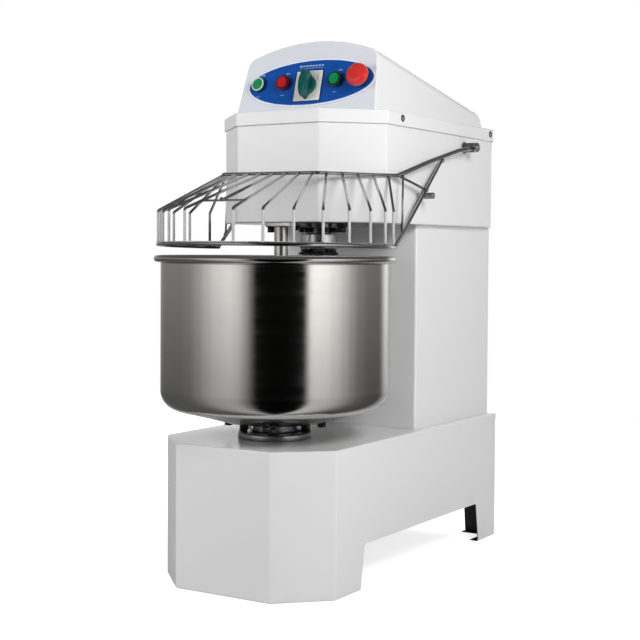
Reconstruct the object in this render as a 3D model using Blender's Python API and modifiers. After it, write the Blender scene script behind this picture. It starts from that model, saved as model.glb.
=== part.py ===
"""Commercial stand mixer with a turning bowl, a spiral hook and a lifting wire guard.

Units are metres, +Z is up and the operator stands on the -Y side. The origin is the middle of the machine's
footprint, on the surface that it stands on. Every piece hangs from one empty on the bowl's axis, so the
dimensions below are read from that axis. Control pieces hang from a second empty on the sloping panel.
"""

import math

import bmesh
import bpy
from mathutils import Vector

# Driving dimensions, measured from the bowl's axis and the floor.
BOWL_AXIS_Y = -0.1765
GAP = 0.0003
SHEET = 0.0016

BASE_HALF_WIDTH = 0.176
BASE_FRONT = -0.1575
BASE_CORNER = (0.080, 0.078)
BASE_REAR = 0.545
BASE_TOP = 0.248
RETURN_FLANGE = 0.018
ARCH_TOP = 0.077
SIDE_ARCH = ((0.014, 0.452), (0.0014, 0.464))
REAR_ARCH = (0.105, 0.110)

COLUMN_HALF_WIDTH = 0.158
COLUMN_FRONT = 0.2265
COLUMN_REAR = 0.5419
COLUMN_RETURN = 0.022

HEAD_HALF_WIDTH = 0.1717
HEAD_FRONT = 0.0034
HEAD_CORNER = (0.0865, 0.0845)
HEAD_REAR = 0.541
HEAD_REAR_RADIUS = 0.028
HEAD_BOTTOM = 0.6243
HEAD_TOP = 0.8150

LID_OVERHANG = 0.0031
LID_BOTTOM = 0.796
LID_TOP = 0.820
HOOD_HALF_WIDTH = 0.149
HOOD_LEAN = 0.1056
HOOD_FRONT = 0.0863
HOOD_REAR = 0.535
HOOD_EDGE = 0.927
HOOD_CREST = 0.9556
HOOD_BROW = 0.138
HOOD_FALL = 0.196
HOOD_FALL_FROM = 0.120
PANEL_SLOPE = math.radians(74.74)
PANEL_ORIGIN = (0.0, 0.0885, 0.828)
LID_SCREW_ROWS = {"front": 0.139, "rear": 0.505}
LID_SCREW_Z = 0.8095
LID_SCREW_HOLE = 0.0024
GLAND = (0.125, 0.175)

BOWL_RADIUS = 0.200
BOWL_SHEET = 0.002
BOWL_CORNER = 0.0335
BOWL_CORNER_Z = 0.3326
BOWL_DISH = 75
BOWL_FLOOR_Z = 0.2763
BOWL_FLOOR_RADIUS = 0.086
RIM_Z = 0.5607
RIM_BEAD = 0.0062
RIM_RADIUS = 0.212
FLANGE_RADIUS = 0.066

HOOK_AXIS = (0.020, 0.109)
HOOK_BAR = 0.012
HOOK_SWEEP = 0.066
HOOK_Z = (0.548, 0.318)
BREAKER_AXIS = (0.0, 0.017)
BREAKER_RADIUS = 0.012

MOTOR_AXIS = (0.065, 0.320)
JACKSHAFT_AXIS = (-0.065, 0.435)
COUNTERSHAFT_AXIS = (0.0, 0.200)
HOOK_WHEEL = 0.060
JACKSHAFT_SPROCKET = 0.030
JACKSHAFT_WHEEL = 0.095
MOTOR_WHEEL = 0.030
JACKSHAFT_PINION = 0.021
COUNTERSHAFT_WHEEL = 0.105
COUNTERSHAFT_PINION = 0.024
BOWL_WHEEL = 0.096
SHAFT_RADIUS = 0.012
CHAIN_Z = (0.645, 0.652)
BELT_Z = (0.668, 0.688)
LOW_BELT_Z = (0.180, 0.196)
LOW_CHAIN_Z = (0.118, 0.125)
CHAIN_THICKNESS = 0.005
BELT_THICKNESS = 0.006
BELT_CLEARANCE = 0.0012

GUARD_RADIUS = 0.207
GUARD_RING_Z = 0.585
GUARD_BEND_Z = 0.642
GUARD_TOP_Z = 0.710
GUARD_ARC = math.radians(114)
GUARD_CORNER = (0.1895, 0.1045)
GUARD_FRONT = (0.097, -0.022)
GUARD_BARS = 8
GUARD_PITCH = math.radians(13.65)
GUARD_STRAIGHT_PITCH = 0.028
RING_WIRE = 0.00375
BAR_WIRE = 0.0026
ARM_WIRE = 0.004
BRACE_WIRE = 0.0033
GRAB_WIRE = 0.0024
GRAB_Z = 0.656
GRAB_SWELL = 0.034
ARM_X = 0.190
PIVOT = (0.388, 0.7745)
PIVOT_WALL = 0.170
STOP_PIN = (0.2035, 0.6755)

BUTTON_ROW = 0.053
FASCIA_CENTRE = (0.0053, 0.0515)
FASCIA_HALF = (0.1345, 0.0447)
FASCIA_TILT = math.radians(1.0)
CONTROL_X = {"lamp": -0.105, "stop": -0.051, "speed": 0.003, "start": 0.060, "emergency": 0.113}
SPEED_ROW = 0.045
PANEL_HOLE = 0.0113
FASCIA_TOP = 0.0018


# ---------------------------------------------------------------- scene and helpers

for old in list(bpy.data.objects):
    bpy.data.objects.remove(old, do_unlink=True)

PARTS = bpy.data.collections.new("commercial_stand_mixer")
CUTTERS = bpy.data.collections.new("cutters")
CUTTERS.hide_render = True
bpy.context.scene.collection.children.link(PARTS)
bpy.context.scene.collection.children.link(CUTTERS)

MACHINE = bpy.data.objects.new("machine_origin", None)
MACHINE.location = (0, BOWL_AXIS_Y, 0)
PARTS.objects.link(MACHINE)

PANEL = bpy.data.objects.new("panel_origin", None)
PANEL.location = PANEL_ORIGIN
PANEL.rotation_euler = (PANEL_SLOPE, 0, 0)
PANEL.parent = MACHINE
PARTS.objects.link(PANEL)


def material(name, colour, roughness, metallic=0.0):
    made = bpy.data.materials.new(name)
    made.use_nodes = True
    shader = made.node_tree.nodes["Principled BSDF"]
    shader.inputs["Base Color"].default_value = (*colour, 1)
    shader.inputs["Roughness"].default_value = roughness
    shader.inputs["Metallic"].default_value = metallic
    made.diffuse_color = (*colour, 1)
    return made


WHITE = material("white_powder_coat", (0.80, 0.80, 0.82), 0.3)
STEEL = material("polished_steel", (0.62, 0.61, 0.59), 0.18, 1)
CHROME = material("chromed_wire", (0.75, 0.75, 0.76), 0.1, 1)
DARK_STEEL = material("blackened_steel", (0.03, 0.03, 0.035), 0.4, 0.8)
CAST = material("cast_iron", (0.16, 0.16, 0.17), 0.55, 0.9)
BLUE = material("blue_fascia", (0.0, 0.08, 0.40), 0.35)
GREEN = material("green_plastic", (0.0, 0.25, 0.06), 0.3)
RED = material("red_plastic", (0.60, 0.02, 0.02), 0.3)
TEAL = material("teal_plastic", (0.0, 0.10, 0.09), 0.35)
BLACK = material("black_plastic", (0.02, 0.02, 0.02), 0.45)
IVORY = material("white_plastic", (0.78, 0.78, 0.75), 0.4)
MOTOR_GREY = material("motor_paint", (0.20, 0.24, 0.27), 0.5)
RUBBER = material("belt_rubber", (0.015, 0.015, 0.015), 0.7)


def add(name, mesh, surface=None, at=(0, 0, 0), turn=(0, 0, 0), parent=MACHINE):
    """One object: a part where it has a surface, and otherwise a hidden cutter or filler."""
    obj = bpy.data.objects.new(name, mesh)
    obj.location = at
    obj.rotation_euler = turn
    obj.parent = parent
    if surface is None:
        obj.hide_render = True
        obj.display_type = "WIRE"
        CUTTERS.objects.link(obj)
    else:
        mesh.materials.append(surface)
        mesh.shade_smooth()
        mesh.set_sharp_from_angle(angle=math.radians(35))
        PARTS.objects.link(obj)
    return obj


def mesh_of(shape):
    mesh = bpy.data.meshes.new("shape")
    shape.to_mesh(mesh)
    shape.free()
    return mesh


def box(name, low, high, surface=None, **place):
    shape = bmesh.new()
    bmesh.ops.create_cube(shape, size=1)
    size = Vector(high) - Vector(low)
    middle = (Vector(high) + Vector(low)) / 2
    bmesh.ops.scale(shape, vec=size, verts=shape.verts)
    bmesh.ops.translate(shape, vec=middle, verts=shape.verts)
    return add(name, mesh_of(shape), surface, **place)


def rod(name, radius, low, high, surface=None, sides=16, **place):
    """A cylinder along its own Z, from low to high."""
    shape = bmesh.new()
    bmesh.ops.create_cone(
        shape, cap_ends=True, segments=sides, radius1=radius, radius2=radius, depth=high - low
    )
    bmesh.ops.translate(shape, vec=(0, 0, (high + low) / 2), verts=shape.verts)
    return add(name, mesh_of(shape), surface, **place)


def cross_hole(name, radius, at, reach, axis="X"):
    """A level cutter through a wall, centred at a point and reaching both ways along X or Y."""
    turn = {"X": (0, math.pi / 2, 0), "Y": (math.pi / 2, 0, 0)}[axis]
    return rod(name, radius, -reach, reach, at=at, turn=turn)


def turned(name, profile, surface=None, sides=16, closed=False, **place):
    """A turned shape from (radius, height) points down its outer side, closed where it has a bore."""
    shape = bmesh.new()
    points = [shape.verts.new((radius, 0, height)) for radius, height in profile]
    for first, second in zip(points, points[1:]):
        shape.edges.new((first, second))
    if closed:
        shape.edges.new((points[-1], points[0]))
    obj = add(name, mesh_of(shape), surface, **place)
    screw = obj.modifiers.new("turn", "SCREW")
    screw.axis = "Z"
    screw.angle = math.tau
    screw.steps = sides
    screw.render_steps = sides
    screw.use_merge_vertices = True
    screw.merge_threshold = 0.00001
    return obj


def prism(name, outline, low, high, surface=None, axis="Z", **place):
    """A flat outline made solid from low to high along an axis; its points are on the other two."""
    shape = bmesh.new()
    order = {
        "X": lambda a, b: (low, a, b),
        "Y": lambda a, b: (a, low, b),
        "Z": lambda a, b: (a, b, low),
    }
    along = {"X": (1, 0, 0), "Y": (0, 1, 0), "Z": (0, 0, 1)}[axis]
    face = shape.faces.new([shape.verts.new(order[axis](a, b)) for a, b in outline])
    grown = bmesh.ops.extrude_face_region(shape, geom=[face])["geom"]
    moved = [item for item in grown if isinstance(item, bmesh.types.BMVert)]
    bmesh.ops.translate(shape, vec=Vector(along) * (high - low), verts=moved)
    bmesh.ops.recalc_face_normals(shape, faces=shape.faces)
    return add(name, mesh_of(shape), surface, **place)


def boolean(obj, operation, *others):
    for other in others:
        step = obj.modifiers.new(operation.lower() + "_" + other.name, "BOOLEAN")
        step.operation = operation
        step.solver = "EXACT"
        step.object = other
    return obj


def cut(obj, *others):
    return boolean(obj, "DIFFERENCE", *others)


def join(obj, *others):
    return boolean(obj, "UNION", *others)


def solidify(obj, thickness):
    wall = obj.modifiers.new("sheet", "SOLIDIFY")
    wall.thickness = thickness
    wall.offset = -1
    wall.use_even_offset = True
    return obj


def bevel(obj, width, segments=2, angle=40):
    edge = obj.modifiers.new("edge", "BEVEL")
    edge.width = width
    edge.segments = segments
    edge.limit_method = "ANGLE"
    edge.angle_limit = math.radians(angle)
    return obj


def arc(centre, radius, start, end, steps):
    """Points on a circle from start to end, in degrees."""
    turns = [math.radians(start + (end - start) * i / steps) for i in range(steps + 1)]
    return [(centre[0] + radius * math.cos(a), centre[1] + radius * math.sin(a)) for a in turns]


def inset(outline, distance):
    """A convex anticlockwise outline moved inwards by a distance."""
    points = [Vector(p) for p in outline]
    made = []
    for i, point in enumerate(points):
        before = (point - points[i - 1]).normalized()
        after = (points[(i + 1) % len(points)] - point).normalized()
        inward = Vector((-before.y, before.x)) + Vector((-after.y, after.x))
        made.append(point + inward * distance / (inward.dot(Vector((-before.y, before.x)))))
    return [tuple(p) for p in made]


def wire(name, points, radius, surface=None, sides=2, cyclic=False, **place):
    """A round wire along straight runs between points, as a mesh with welded caps."""
    curve = bpy.data.curves.new(name, "CURVE")
    curve.dimensions = "3D"
    curve.bevel_depth = radius
    curve.bevel_resolution = sides
    curve.use_fill_caps = True
    line = curve.splines.new("POLY")
    line.points.add(len(points) - 1)
    line.use_cyclic_u = cyclic
    for target, point in zip(line.points, points):
        target.co = (*point, 1)
    source = bpy.data.objects.new(name + "_curve", curve)
    bpy.context.scene.collection.objects.link(source)
    bpy.context.view_layer.update()
    graph = bpy.context.evaluated_depsgraph_get()
    mesh = bpy.data.meshes.new_from_object(source.evaluated_get(graph))
    bpy.data.objects.remove(source)
    shape = bmesh.new()
    shape.from_mesh(mesh)
    bmesh.ops.remove_doubles(shape, verts=shape.verts, dist=0.00001)
    bmesh.ops.recalc_face_normals(shape, faces=shape.faces)
    shape.to_mesh(mesh)
    shape.free()
    return add(name, mesh, surface, **place)


def octagon_front(half_width, front, corner, rear, rear_radius=0.0):
    """An anticlockwise plan with cut front corners and square or rounded rear corners."""
    across, back = corner
    plan = [
        (-half_width, front + back),
        (-half_width + across, front),
        (half_width - across, front),
        (half_width, front + back),
    ]
    if rear_radius == 0:
        return plan + [(half_width, rear), (-half_width, rear)]
    middle = half_width - rear_radius
    plan += arc((middle, rear - rear_radius), rear_radius, 0, 90, 4)
    return plan + arc((-middle, rear - rear_radius), rear_radius, 90, 180, 4)


def shell_object(name, loops, surface, close_last):
    """An open surface through loops of equal length, with the last loop closed by a face where asked."""
    shape = bmesh.new()
    rings = [[shape.verts.new(p) for p in loop] for loop in loops]
    for lower, upper in zip(rings, rings[1:]):
        for i in range(len(lower)):
            j = (i + 1) % len(lower)
            shape.faces.new((lower[i], lower[j], upper[j], upper[i]))
    if close_last:
        shape.faces.new(rings[-1])
    return add(name, mesh_of(shape), surface)


def at_height(outline, height):
    return [(x, y, height) for x, y in outline]


# ---------------------------------------------------------------- housings


def make_base():
    plan = octagon_front(BASE_HALF_WIDTH, BASE_FRONT, BASE_CORNER, BASE_REAR)
    loops = [
        at_height(inset(plan, RETURN_FLANGE), 0),
        at_height(plan, 0),
        at_height(plan, BASE_TOP),
    ]
    base = shell_object("base_housing", loops, WHITE, close_last=True)
    solidify(base, 0.002)
    (front_top, rear_top), (front_low, rear_low) = SIDE_ARCH
    below = -0.010
    slope = (front_low - front_top) / ARCH_TOP
    side = [
        (front_top + slope * (ARCH_TOP - below), below),
        (rear_top - slope * (ARCH_TOP - below), below),
        (rear_top, ARCH_TOP),
        (front_top, ARCH_TOP),
    ]
    side_arch = prism("side_arch", side, -0.3, 0.3, axis="X")
    top_half, low_half = REAR_ARCH
    rear = [(-low_half, below), (low_half, below), (top_half, ARCH_TOP), (-top_half, ARCH_TOP)]
    rear_arch = prism("rear_arch", rear, BASE_REAR - 0.1, BASE_REAR + 0.1, axis="Y")
    bore = rod("base_bowl_hole", 0.0455, BASE_TOP - 0.05, BASE_TOP + 0.05, sides=24)
    shaft_hole = rod("base_shaft_hole", 0.020, BASE_TOP - 0.05, BASE_TOP + 0.05, at=(*JACKSHAFT_AXIS, 0))
    gland = cross_hole("base_gland_hole", 0.0083, (GLAND[0], BASE_REAR, GLAND[1]), 0.05, axis="Y")
    cut(base, side_arch, rear_arch, bore, shaft_hole, gland)


def make_column():
    inner = COLUMN_HALF_WIDTH - COLUMN_RETURN
    path = [
        (-inner, COLUMN_REAR),
        (-COLUMN_HALF_WIDTH, COLUMN_REAR),
        (-COLUMN_HALF_WIDTH, COLUMN_FRONT),
        (COLUMN_HALF_WIDTH, COLUMN_FRONT),
        (COLUMN_HALF_WIDTH, COLUMN_REAR),
        (inner, COLUMN_REAR),
    ]
    shape = bmesh.new()
    low = [shape.verts.new((x, y, BASE_TOP + GAP)) for x, y in path]
    high = [shape.verts.new((x, y, HEAD_BOTTOM - GAP)) for x, y in path]
    for i in range(len(path) - 1):
        shape.faces.new((low[i], low[i + 1], high[i + 1], high[i]))
    column = add("column_housing", mesh_of(shape), WHITE)
    solidify(column, SHEET)

    cover = box(
        "rear_cover",
        (-0.150, COLUMN_REAR + GAP, 0.262),
        (0.150, COLUMN_REAR + 0.0021, 0.612),
        WHITE,
    )
    bevel(cover, 0.0006, 1)
    for row in range(6):
        middle = 0.330 + row * 0.018
        slot = box(
            f"cover_slot_{row}",
            (-0.060, COLUMN_REAR - 0.01, middle - 0.003),
            (0.060, COLUMN_REAR + 0.01, middle + 0.003),
        )
        cut(cover, slot)


def head_plan(grow=0.0):
    plan = octagon_front(HEAD_HALF_WIDTH, HEAD_FRONT, HEAD_CORNER, HEAD_REAR, HEAD_REAR_RADIUS)
    return inset(plan, -grow)


def lid_screw_places():
    """(name, side, y) of the four screws that hold the lid to the head."""
    for side, side_name in ((-1, "left"), (1, "right")):
        for end, y in LID_SCREW_ROWS.items():
            yield f"lid_screw_{end}_{side_name}", side, y


def make_head():
    plan = head_plan()
    loops = [at_height(plan, HEAD_TOP), at_height(plan, HEAD_BOTTOM)]
    shape = bmesh.new()
    top, bottom = [[shape.verts.new(p) for p in loop] for loop in loops]
    for i in range(len(plan)):
        j = (i + 1) % len(plan)
        shape.faces.new((bottom[i], bottom[j], top[j], top[i]))
    shape.faces.new(bottom[::-1])
    head = add("head_housing", mesh_of(shape), WHITE)
    solidify(head, SHEET)
    holes = [
        rod("head_hook_hole", 0.0305, HEAD_BOTTOM - 0.03, HEAD_BOTTOM + 0.03, at=(*HOOK_AXIS, 0)),
        rod("head_jackshaft_hole", 0.020, HEAD_BOTTOM - 0.03, HEAD_BOTTOM + 0.03, at=(*JACKSHAFT_AXIS, 0)),
        rod("head_motor_hole", 0.020, HEAD_BOTTOM - 0.03, HEAD_BOTTOM + 0.03, at=(*MOTOR_AXIS, 0)),
        cross_hole("head_pivot_holes", 0.0083, (0, *PIVOT), 0.2),
    ]
    for end, y in LID_SCREW_ROWS.items():
        holes.append(cross_hole(f"head_screw_hole_{end}", LID_SCREW_HOLE, (0, y, LID_SCREW_Z), 0.2))
    cut(head, *holes)


def hood_section(y, shrink=0.0):
    """Half-width at the foot, half-width at the edge, edge height and crest height of the hood at y."""
    edge = HOOD_EDGE - HOOD_FALL * max(0.0, y - HOOD_FALL_FROM) - shrink
    foot = HOOD_HALF_WIDTH - shrink
    brow = foot - HOOD_LEAN * (edge - LID_TOP)
    rise = (HOOD_CREST - HOOD_EDGE) * (brow / HOOD_BROW) ** 2
    return foot, brow, edge, edge + rise


def hood_loop(y_low, y_high, base, shrink, arch_steps=6):
    """Points over the hood from foot to foot, leaning from y_low at the foot to y_high at the crest."""
    foot, brow, edge, crest = hood_section(max(y_low, y_high), shrink)
    rise = crest - edge
    radius = (brow * brow + rise * rise) / (2 * rise)
    points = [(-foot, base)]
    for i in range(arch_steps + 1):
        x = -brow + 2 * brow * i / arch_steps
        points.append((x, crest - radius + math.sqrt(radius * radius - x * x)))
    points.append((foot, base))
    span = crest - base
    return [(x, y_low + (y_high - y_low) * (z - base) / span, z) for x, z in points]


def hood_solid(name, shrink, base):
    """The hood as a closed body: a leaning front, a falling arched roof and a rounded tail."""
    lean = math.tan(math.pi / 2 - PANEL_SLOPE)
    front = HOOD_FRONT + shrink
    crest = HOOD_CREST - shrink
    stations = [(front - lean * (LID_TOP - base), front + lean * (crest - LID_TOP))]
    stations += [(y, y) for y in (0.20, 0.505)]
    loops = [hood_loop(low, high, base, shrink) for low, high in stations]
    tail = hood_loop(HOOD_REAR - shrink, HOOD_REAR - shrink, base, shrink)
    fallen = [(x * 0.985, y, base + (z - base) * 0.45) for x, y, z in tail]
    middle = [(x, y - 0.010, base + (z - base) * 0.86) for x, y, z in tail]
    loops += [middle, fallen]
    shape = bmesh.new()
    rings = [[shape.verts.new(p) for p in loop] for loop in loops]
    for first, second in zip(rings, rings[1:]):
        for i in range(len(first) - 1):
            shape.faces.new((first[i], first[i + 1], second[i + 1], second[i]))
        shape.faces.new((first[-1], first[0], second[0], second[-1]))
    shape.faces.new(rings[0][::-1])
    shape.faces.new(rings[-1])
    bmesh.ops.recalc_face_normals(shape, faces=shape.faces)
    return add(name, mesh_of(shape))


def make_top_cover():
    outer = head_plan(LID_OVERHANG)
    inner = head_plan(LID_OVERHANG - SHEET + 0.0001)
    cover = prism("top_cover", outer, LID_BOTTOM, LID_TOP, WHITE)
    join(cover, hood_solid("hood_outside", 0, LID_TOP - 0.004))
    cut(cover, prism("lid_inside", inner, LID_BOTTOM - 0.02, LID_TOP - SHEET))
    cut(cover, hood_solid("hood_inside", SHEET * 1.3, LID_TOP - 0.010))
    for name, x in CONTROL_X.items():
        row = SPEED_ROW if name == "speed" else BUTTON_ROW
        cut(cover, rod(f"panel_hole_{name}", PANEL_HOLE, -0.02, 0.02, at=(x, row, 0), parent=PANEL))
    for end, y in LID_SCREW_ROWS.items():
        cut(cover, cross_hole(f"lid_screw_hole_{end}", LID_SCREW_HOLE, (0, y, LID_SCREW_Z), 0.2))


def make_lid_screws():
    face = HEAD_HALF_WIDTH + LID_OVERHANG + GAP
    dome = [(0, 0.003), (0.003, 0.0028), (0.005, 0.0012), (0.005, 0)]
    shank = [(0.002, 0), (0.002, -0.008), (0, -0.008)]
    for name, side, y in lid_screw_places():
        place = {"at": (side * face, y, LID_SCREW_Z), "turn": (0, side * math.pi / 2, 0)}
        turned(name, dome + shank, STEEL, sides=12, **place)


def make_gland():
    profile = [
        (0.0045, 0.0195),
        (0.0095, 0.0195),
        (0.0110, 0.0100),
        (0.0120, 0.0050),
        (0.0120, GAP),
        (0.0080, GAP),
        (0.0080, -0.012),
        (0.0045, -0.012),
    ]
    place = {"at": (GLAND[0], BASE_REAR, GLAND[1]), "turn": (-math.pi / 2, 0, 0)}
    turned("cable_gland", profile, BLACK, closed=True, **place)


# ---------------------------------------------------------------- control panel


def fascia_outline(steps=32):
    """A slightly tilted ellipse on the panel."""
    across = Vector((math.cos(FASCIA_TILT), math.sin(FASCIA_TILT))) * FASCIA_HALF[0]
    up = Vector((-math.sin(FASCIA_TILT), math.cos(FASCIA_TILT))) * FASCIA_HALF[1]
    for i in range(steps):
        turn = math.tau * i / steps
        yield tuple(Vector(FASCIA_CENTRE) + across * math.cos(turn) + up * math.sin(turn))


def make_push_switch(kind, surface, bezel_surface):
    """A flush push-button: the bezel, barrel and contact block in one, and the cap that travels."""
    place = {"at": (CONTROL_X[kind], BUTTON_ROW, 0), "parent": PANEL}
    profile = [
        (0.0104, 0.0100),
        (0.0132, 0.0100),
        (0.0142, 0.0085),
        (0.0142, FASCIA_TOP + GAP),
        (0.0108, FASCIA_TOP + GAP),
        (0.0108, -0.012),
        (0, -0.012),
        (0, -0.0114),
        (0.0070, -0.0114),
        (0.0070, 0.0041),
        (0.0104, 0.0041),
    ]
    body = turned(f"{kind}_switch_body", profile + [profile[0]], bezel_surface, **place)
    join(body, box(f"{kind}_contact_block", (-0.015, -0.020, -0.045), (0.015, 0.020, -0.0117), **place))
    cap = [(0, 0.0115), (0.0085, 0.0113), (0.0101, 0.0104), (0.0101, 0.0076)]
    cap += [(0.0067, 0.0076), (0.0067, -0.0080), (0, -0.0080)]
    turned(f"{kind}_button", cap, surface, **place)


def make_lamp():
    place = {"at": (CONTROL_X["lamp"], BUTTON_ROW, 0), "parent": PANEL}
    profile = [
        (0, 0.0040),
        (0.0108, 0.0040),
        (0.0108, 0.0085),
        (0.0132, 0.0085),
        (0.0142, 0.0070),
        (0.0142, FASCIA_TOP + GAP),
        (0.0108, FASCIA_TOP + GAP),
        (0.0108, -0.012),
        (0, -0.012),
    ]
    body = turned("power_lamp_body", profile, IVORY, **place)
    join(body, box("lamp_block", (-0.015, -0.018, -0.040), (0.015, 0.018, -0.0117), **place))
    lens = [(0, 0.0115), (0.006, 0.0110), (0.0098, 0.0092), (0.0105, 0.0075), (0.0105, 0.0043), (0, 0.0043)]
    turned("power_lamp_lens", lens, GREEN, **place)


def make_emergency_stop():
    place = {"at": (CONTROL_X["emergency"], BUTTON_ROW, 0), "parent": PANEL}
    profile = [
        (0.0085, 0.0090),
        (0.0140, 0.0090),
        (0.0148, 0.0075),
        (0.0148, FASCIA_TOP + GAP),
        (0.0108, FASCIA_TOP + GAP),
        (0.0108, -0.012),
        (0, -0.012),
        (0, -0.0114),
        (0.0085, -0.0114),
    ]
    body = turned("emergency_switch_body", profile + [profile[0]], BLACK, **place)
    join(body, box("emergency_contact_block", (-0.015, -0.022, -0.060), (0.015, 0.022, -0.0117), **place))
    head = [
        (0, 0.0285),
        (0.010, 0.0280),
        (0.0175, 0.0255),
        (0.0208, 0.0215),
        (0.0208, 0.0185),
        (0.0180, 0.0160),
        (0.0082, 0.0150),
        (0.0082, -0.0060),
        (0, -0.0060),
    ]
    turned("emergency_stop_head", head, RED, sides=20, **place)


def make_speed_switch():
    place = {"at": (CONTROL_X["speed"], SPEED_ROW, 0), "parent": PANEL}
    low = FASCIA_TOP + GAP
    plate = box("speed_switch_plate", (-0.0275, -0.0285, low), (0.0275, 0.0285, low + 0.002), IVORY, **place)
    bevel(plate, 0.0007, 1)
    cut(plate, rod("speed_plate_hole", 0.0065, -0.01, 0.02, **place))
    top = low + 0.002 + GAP
    skirt = [(0, 0.011), (0.0165, 0.011), (0.0185, 0.009), (0.0185, top)]
    spindle = [(0.0045, top), (0.0045, -0.010), (0, -0.010)]
    knob = turned("speed_switch_knob", skirt + spindle, TEAL, sides=20, **place)
    join(knob, box("knob_bar", (-0.0065, -0.0265, top + 0.001), (0.0065, 0.0265, 0.026), **place))
    body = box("speed_cam_switch", (-0.022, -0.022, -0.062), (0.022, 0.022, -0.004), BLACK, **place)
    cut(body, rod("speed_cam_bore", 0.0050, -0.016, 0.01, **place))


def make_controls():
    fascia = prism("control_fascia", list(fascia_outline()), GAP, FASCIA_TOP, BLUE, parent=PANEL)
    for name, x in CONTROL_X.items():
        row = SPEED_ROW if name == "speed" else BUTTON_ROW
        cut(fascia, rod(f"fascia_hole_{name}", PANEL_HOLE, -0.01, 0.01, at=(x, row, 0), parent=PANEL))
    make_lamp()
    make_push_switch("stop", RED, BLACK)
    make_push_switch("start", GREEN, BLACK)
    make_emergency_stop()
    make_speed_switch()


# ---------------------------------------------------------------- bowl and its drive


def bowl_profile():
    """Down the outside from the rim bead to the floor's middle, and back up the inside."""
    bead = RIM_RADIUS - RIM_BEAD
    corner = BOWL_RADIUS - BOWL_CORNER
    outside = arc((bead, RIM_Z), RIM_BEAD, 144, -144, 6)
    outside += [(BOWL_RADIUS, RIM_Z - 0.0105)]
    outside += arc((corner, BOWL_CORNER_Z), BOWL_CORNER, 0, -BOWL_DISH, 4)
    outside += [(BOWL_FLOOR_RADIUS, BOWL_FLOOR_Z), (0, BOWL_FLOOR_Z)]
    inner = BOWL_RADIUS - BOWL_SHEET
    inside = [(0, BOWL_FLOOR_Z + BOWL_SHEET), (BOWL_FLOOR_RADIUS, BOWL_FLOOR_Z + BOWL_SHEET)]
    inside += arc((corner, BOWL_CORNER_Z), BOWL_CORNER - BOWL_SHEET, -BOWL_DISH, 0, 4)
    return outside + inside + [(inner, RIM_Z - 0.004), (inner, RIM_Z + 0.0005)]


def make_bowl():
    profile = bowl_profile()
    turned("bowl", profile, STEEL, sides=40, closed=True)
    hub_top = BOWL_FLOOR_Z - GAP
    hub = [
        (0, hub_top),
        (0.046, hub_top),
        (0.046, hub_top - 0.0035),
        (0.039, hub_top - 0.0050),
        (0.039, 0.2600),
        (0.0199, 0.2600),
        (0.0199, 0.1080),
        (0, 0.1080),
    ]
    turned("bowl_hub", hub, CAST, sides=20)
    housing = [
        (FLANGE_RADIUS, 0.2590),
        (FLANGE_RADIUS, BASE_TOP + GAP),
        (0.0440, BASE_TOP + GAP),
        (0.0440, 0.1500),
        (0.0320, 0.1500),
        (0.0320, 0.2100),
        (0.0215, 0.2100),
        (0.0215, 0.2590),
    ]
    turned("bowl_bearing_housing", housing, CAST, sides=24, closed=True)
    ring("bowl_bearing", 0.0312, 0.0208, 0.1520, 0.1700, (0, 0), STEEL)
    bowl_wheel = [
        (BOWL_WHEEL, LOW_CHAIN_Z[1] - 0.001),
        (BOWL_WHEEL, LOW_CHAIN_Z[0] + 0.001),
        (0.030, LOW_CHAIN_Z[0] + 0.001),
        (0.030, 0.1110),
        (0.0202, 0.1110),
        (0.0202, 0.1400),
        (0.030, 0.1400),
        (0.030, LOW_CHAIN_Z[1] - 0.001),
    ]
    turned("bowl_sprocket", bowl_wheel, DARK_STEEL, sides=32, closed=True)


def ring(name, outer, inner, low, high, axis, surface, sides=16):
    profile = [(outer, high), (outer, low), (inner, low), (inner, high)]
    return turned(name, profile, surface, sides=sides, closed=True, at=(*axis, 0))


def loop_outline(first, first_radius, second, second_radius, steps=14):
    """The outline of a taut belt around two wheels, anticlockwise."""
    a, b = Vector(first), Vector(second)
    way = b - a
    heading = math.atan2(way.y, way.x)
    spread = math.acos((first_radius - second_radius) / way.length)
    points = []
    for centre, radius, start, sweep in (
        (b, second_radius, heading - spread, 2 * spread),
        (a, first_radius, heading + spread, math.tau - 2 * spread),
    ):
        for i in range(steps + 1):
            angle = start + sweep * i / steps
            points.append((centre.x + radius * math.cos(angle), centre.y + radius * math.sin(angle)))
    return points


def make_loop(name, first, first_radius, second, second_radius, heights, thickness, surface):
    low, high = heights
    inner = loop_outline(first, first_radius + BELT_CLEARANCE, second, second_radius + BELT_CLEARANCE)
    grown = BELT_CLEARANCE + thickness
    outer = loop_outline(first, first_radius + grown, second, second_radius + grown)
    band = prism(name, outer, low, high, surface)
    return cut(band, prism(name + "_inside", inner, low - 0.01, high + 0.01))


def grooved_rim(radius, heights):
    low, high = heights
    middle = (low + high) / 2
    groove = radius - 0.004
    return [(radius, high), (groove, middle + 0.002), (groove, middle - 0.002), (radius, low)]


def solid_wheel(radius, heights):
    low, high = heights
    return [(0, high)] + grooved_rim(radius, heights) + [(0, low)]


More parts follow.
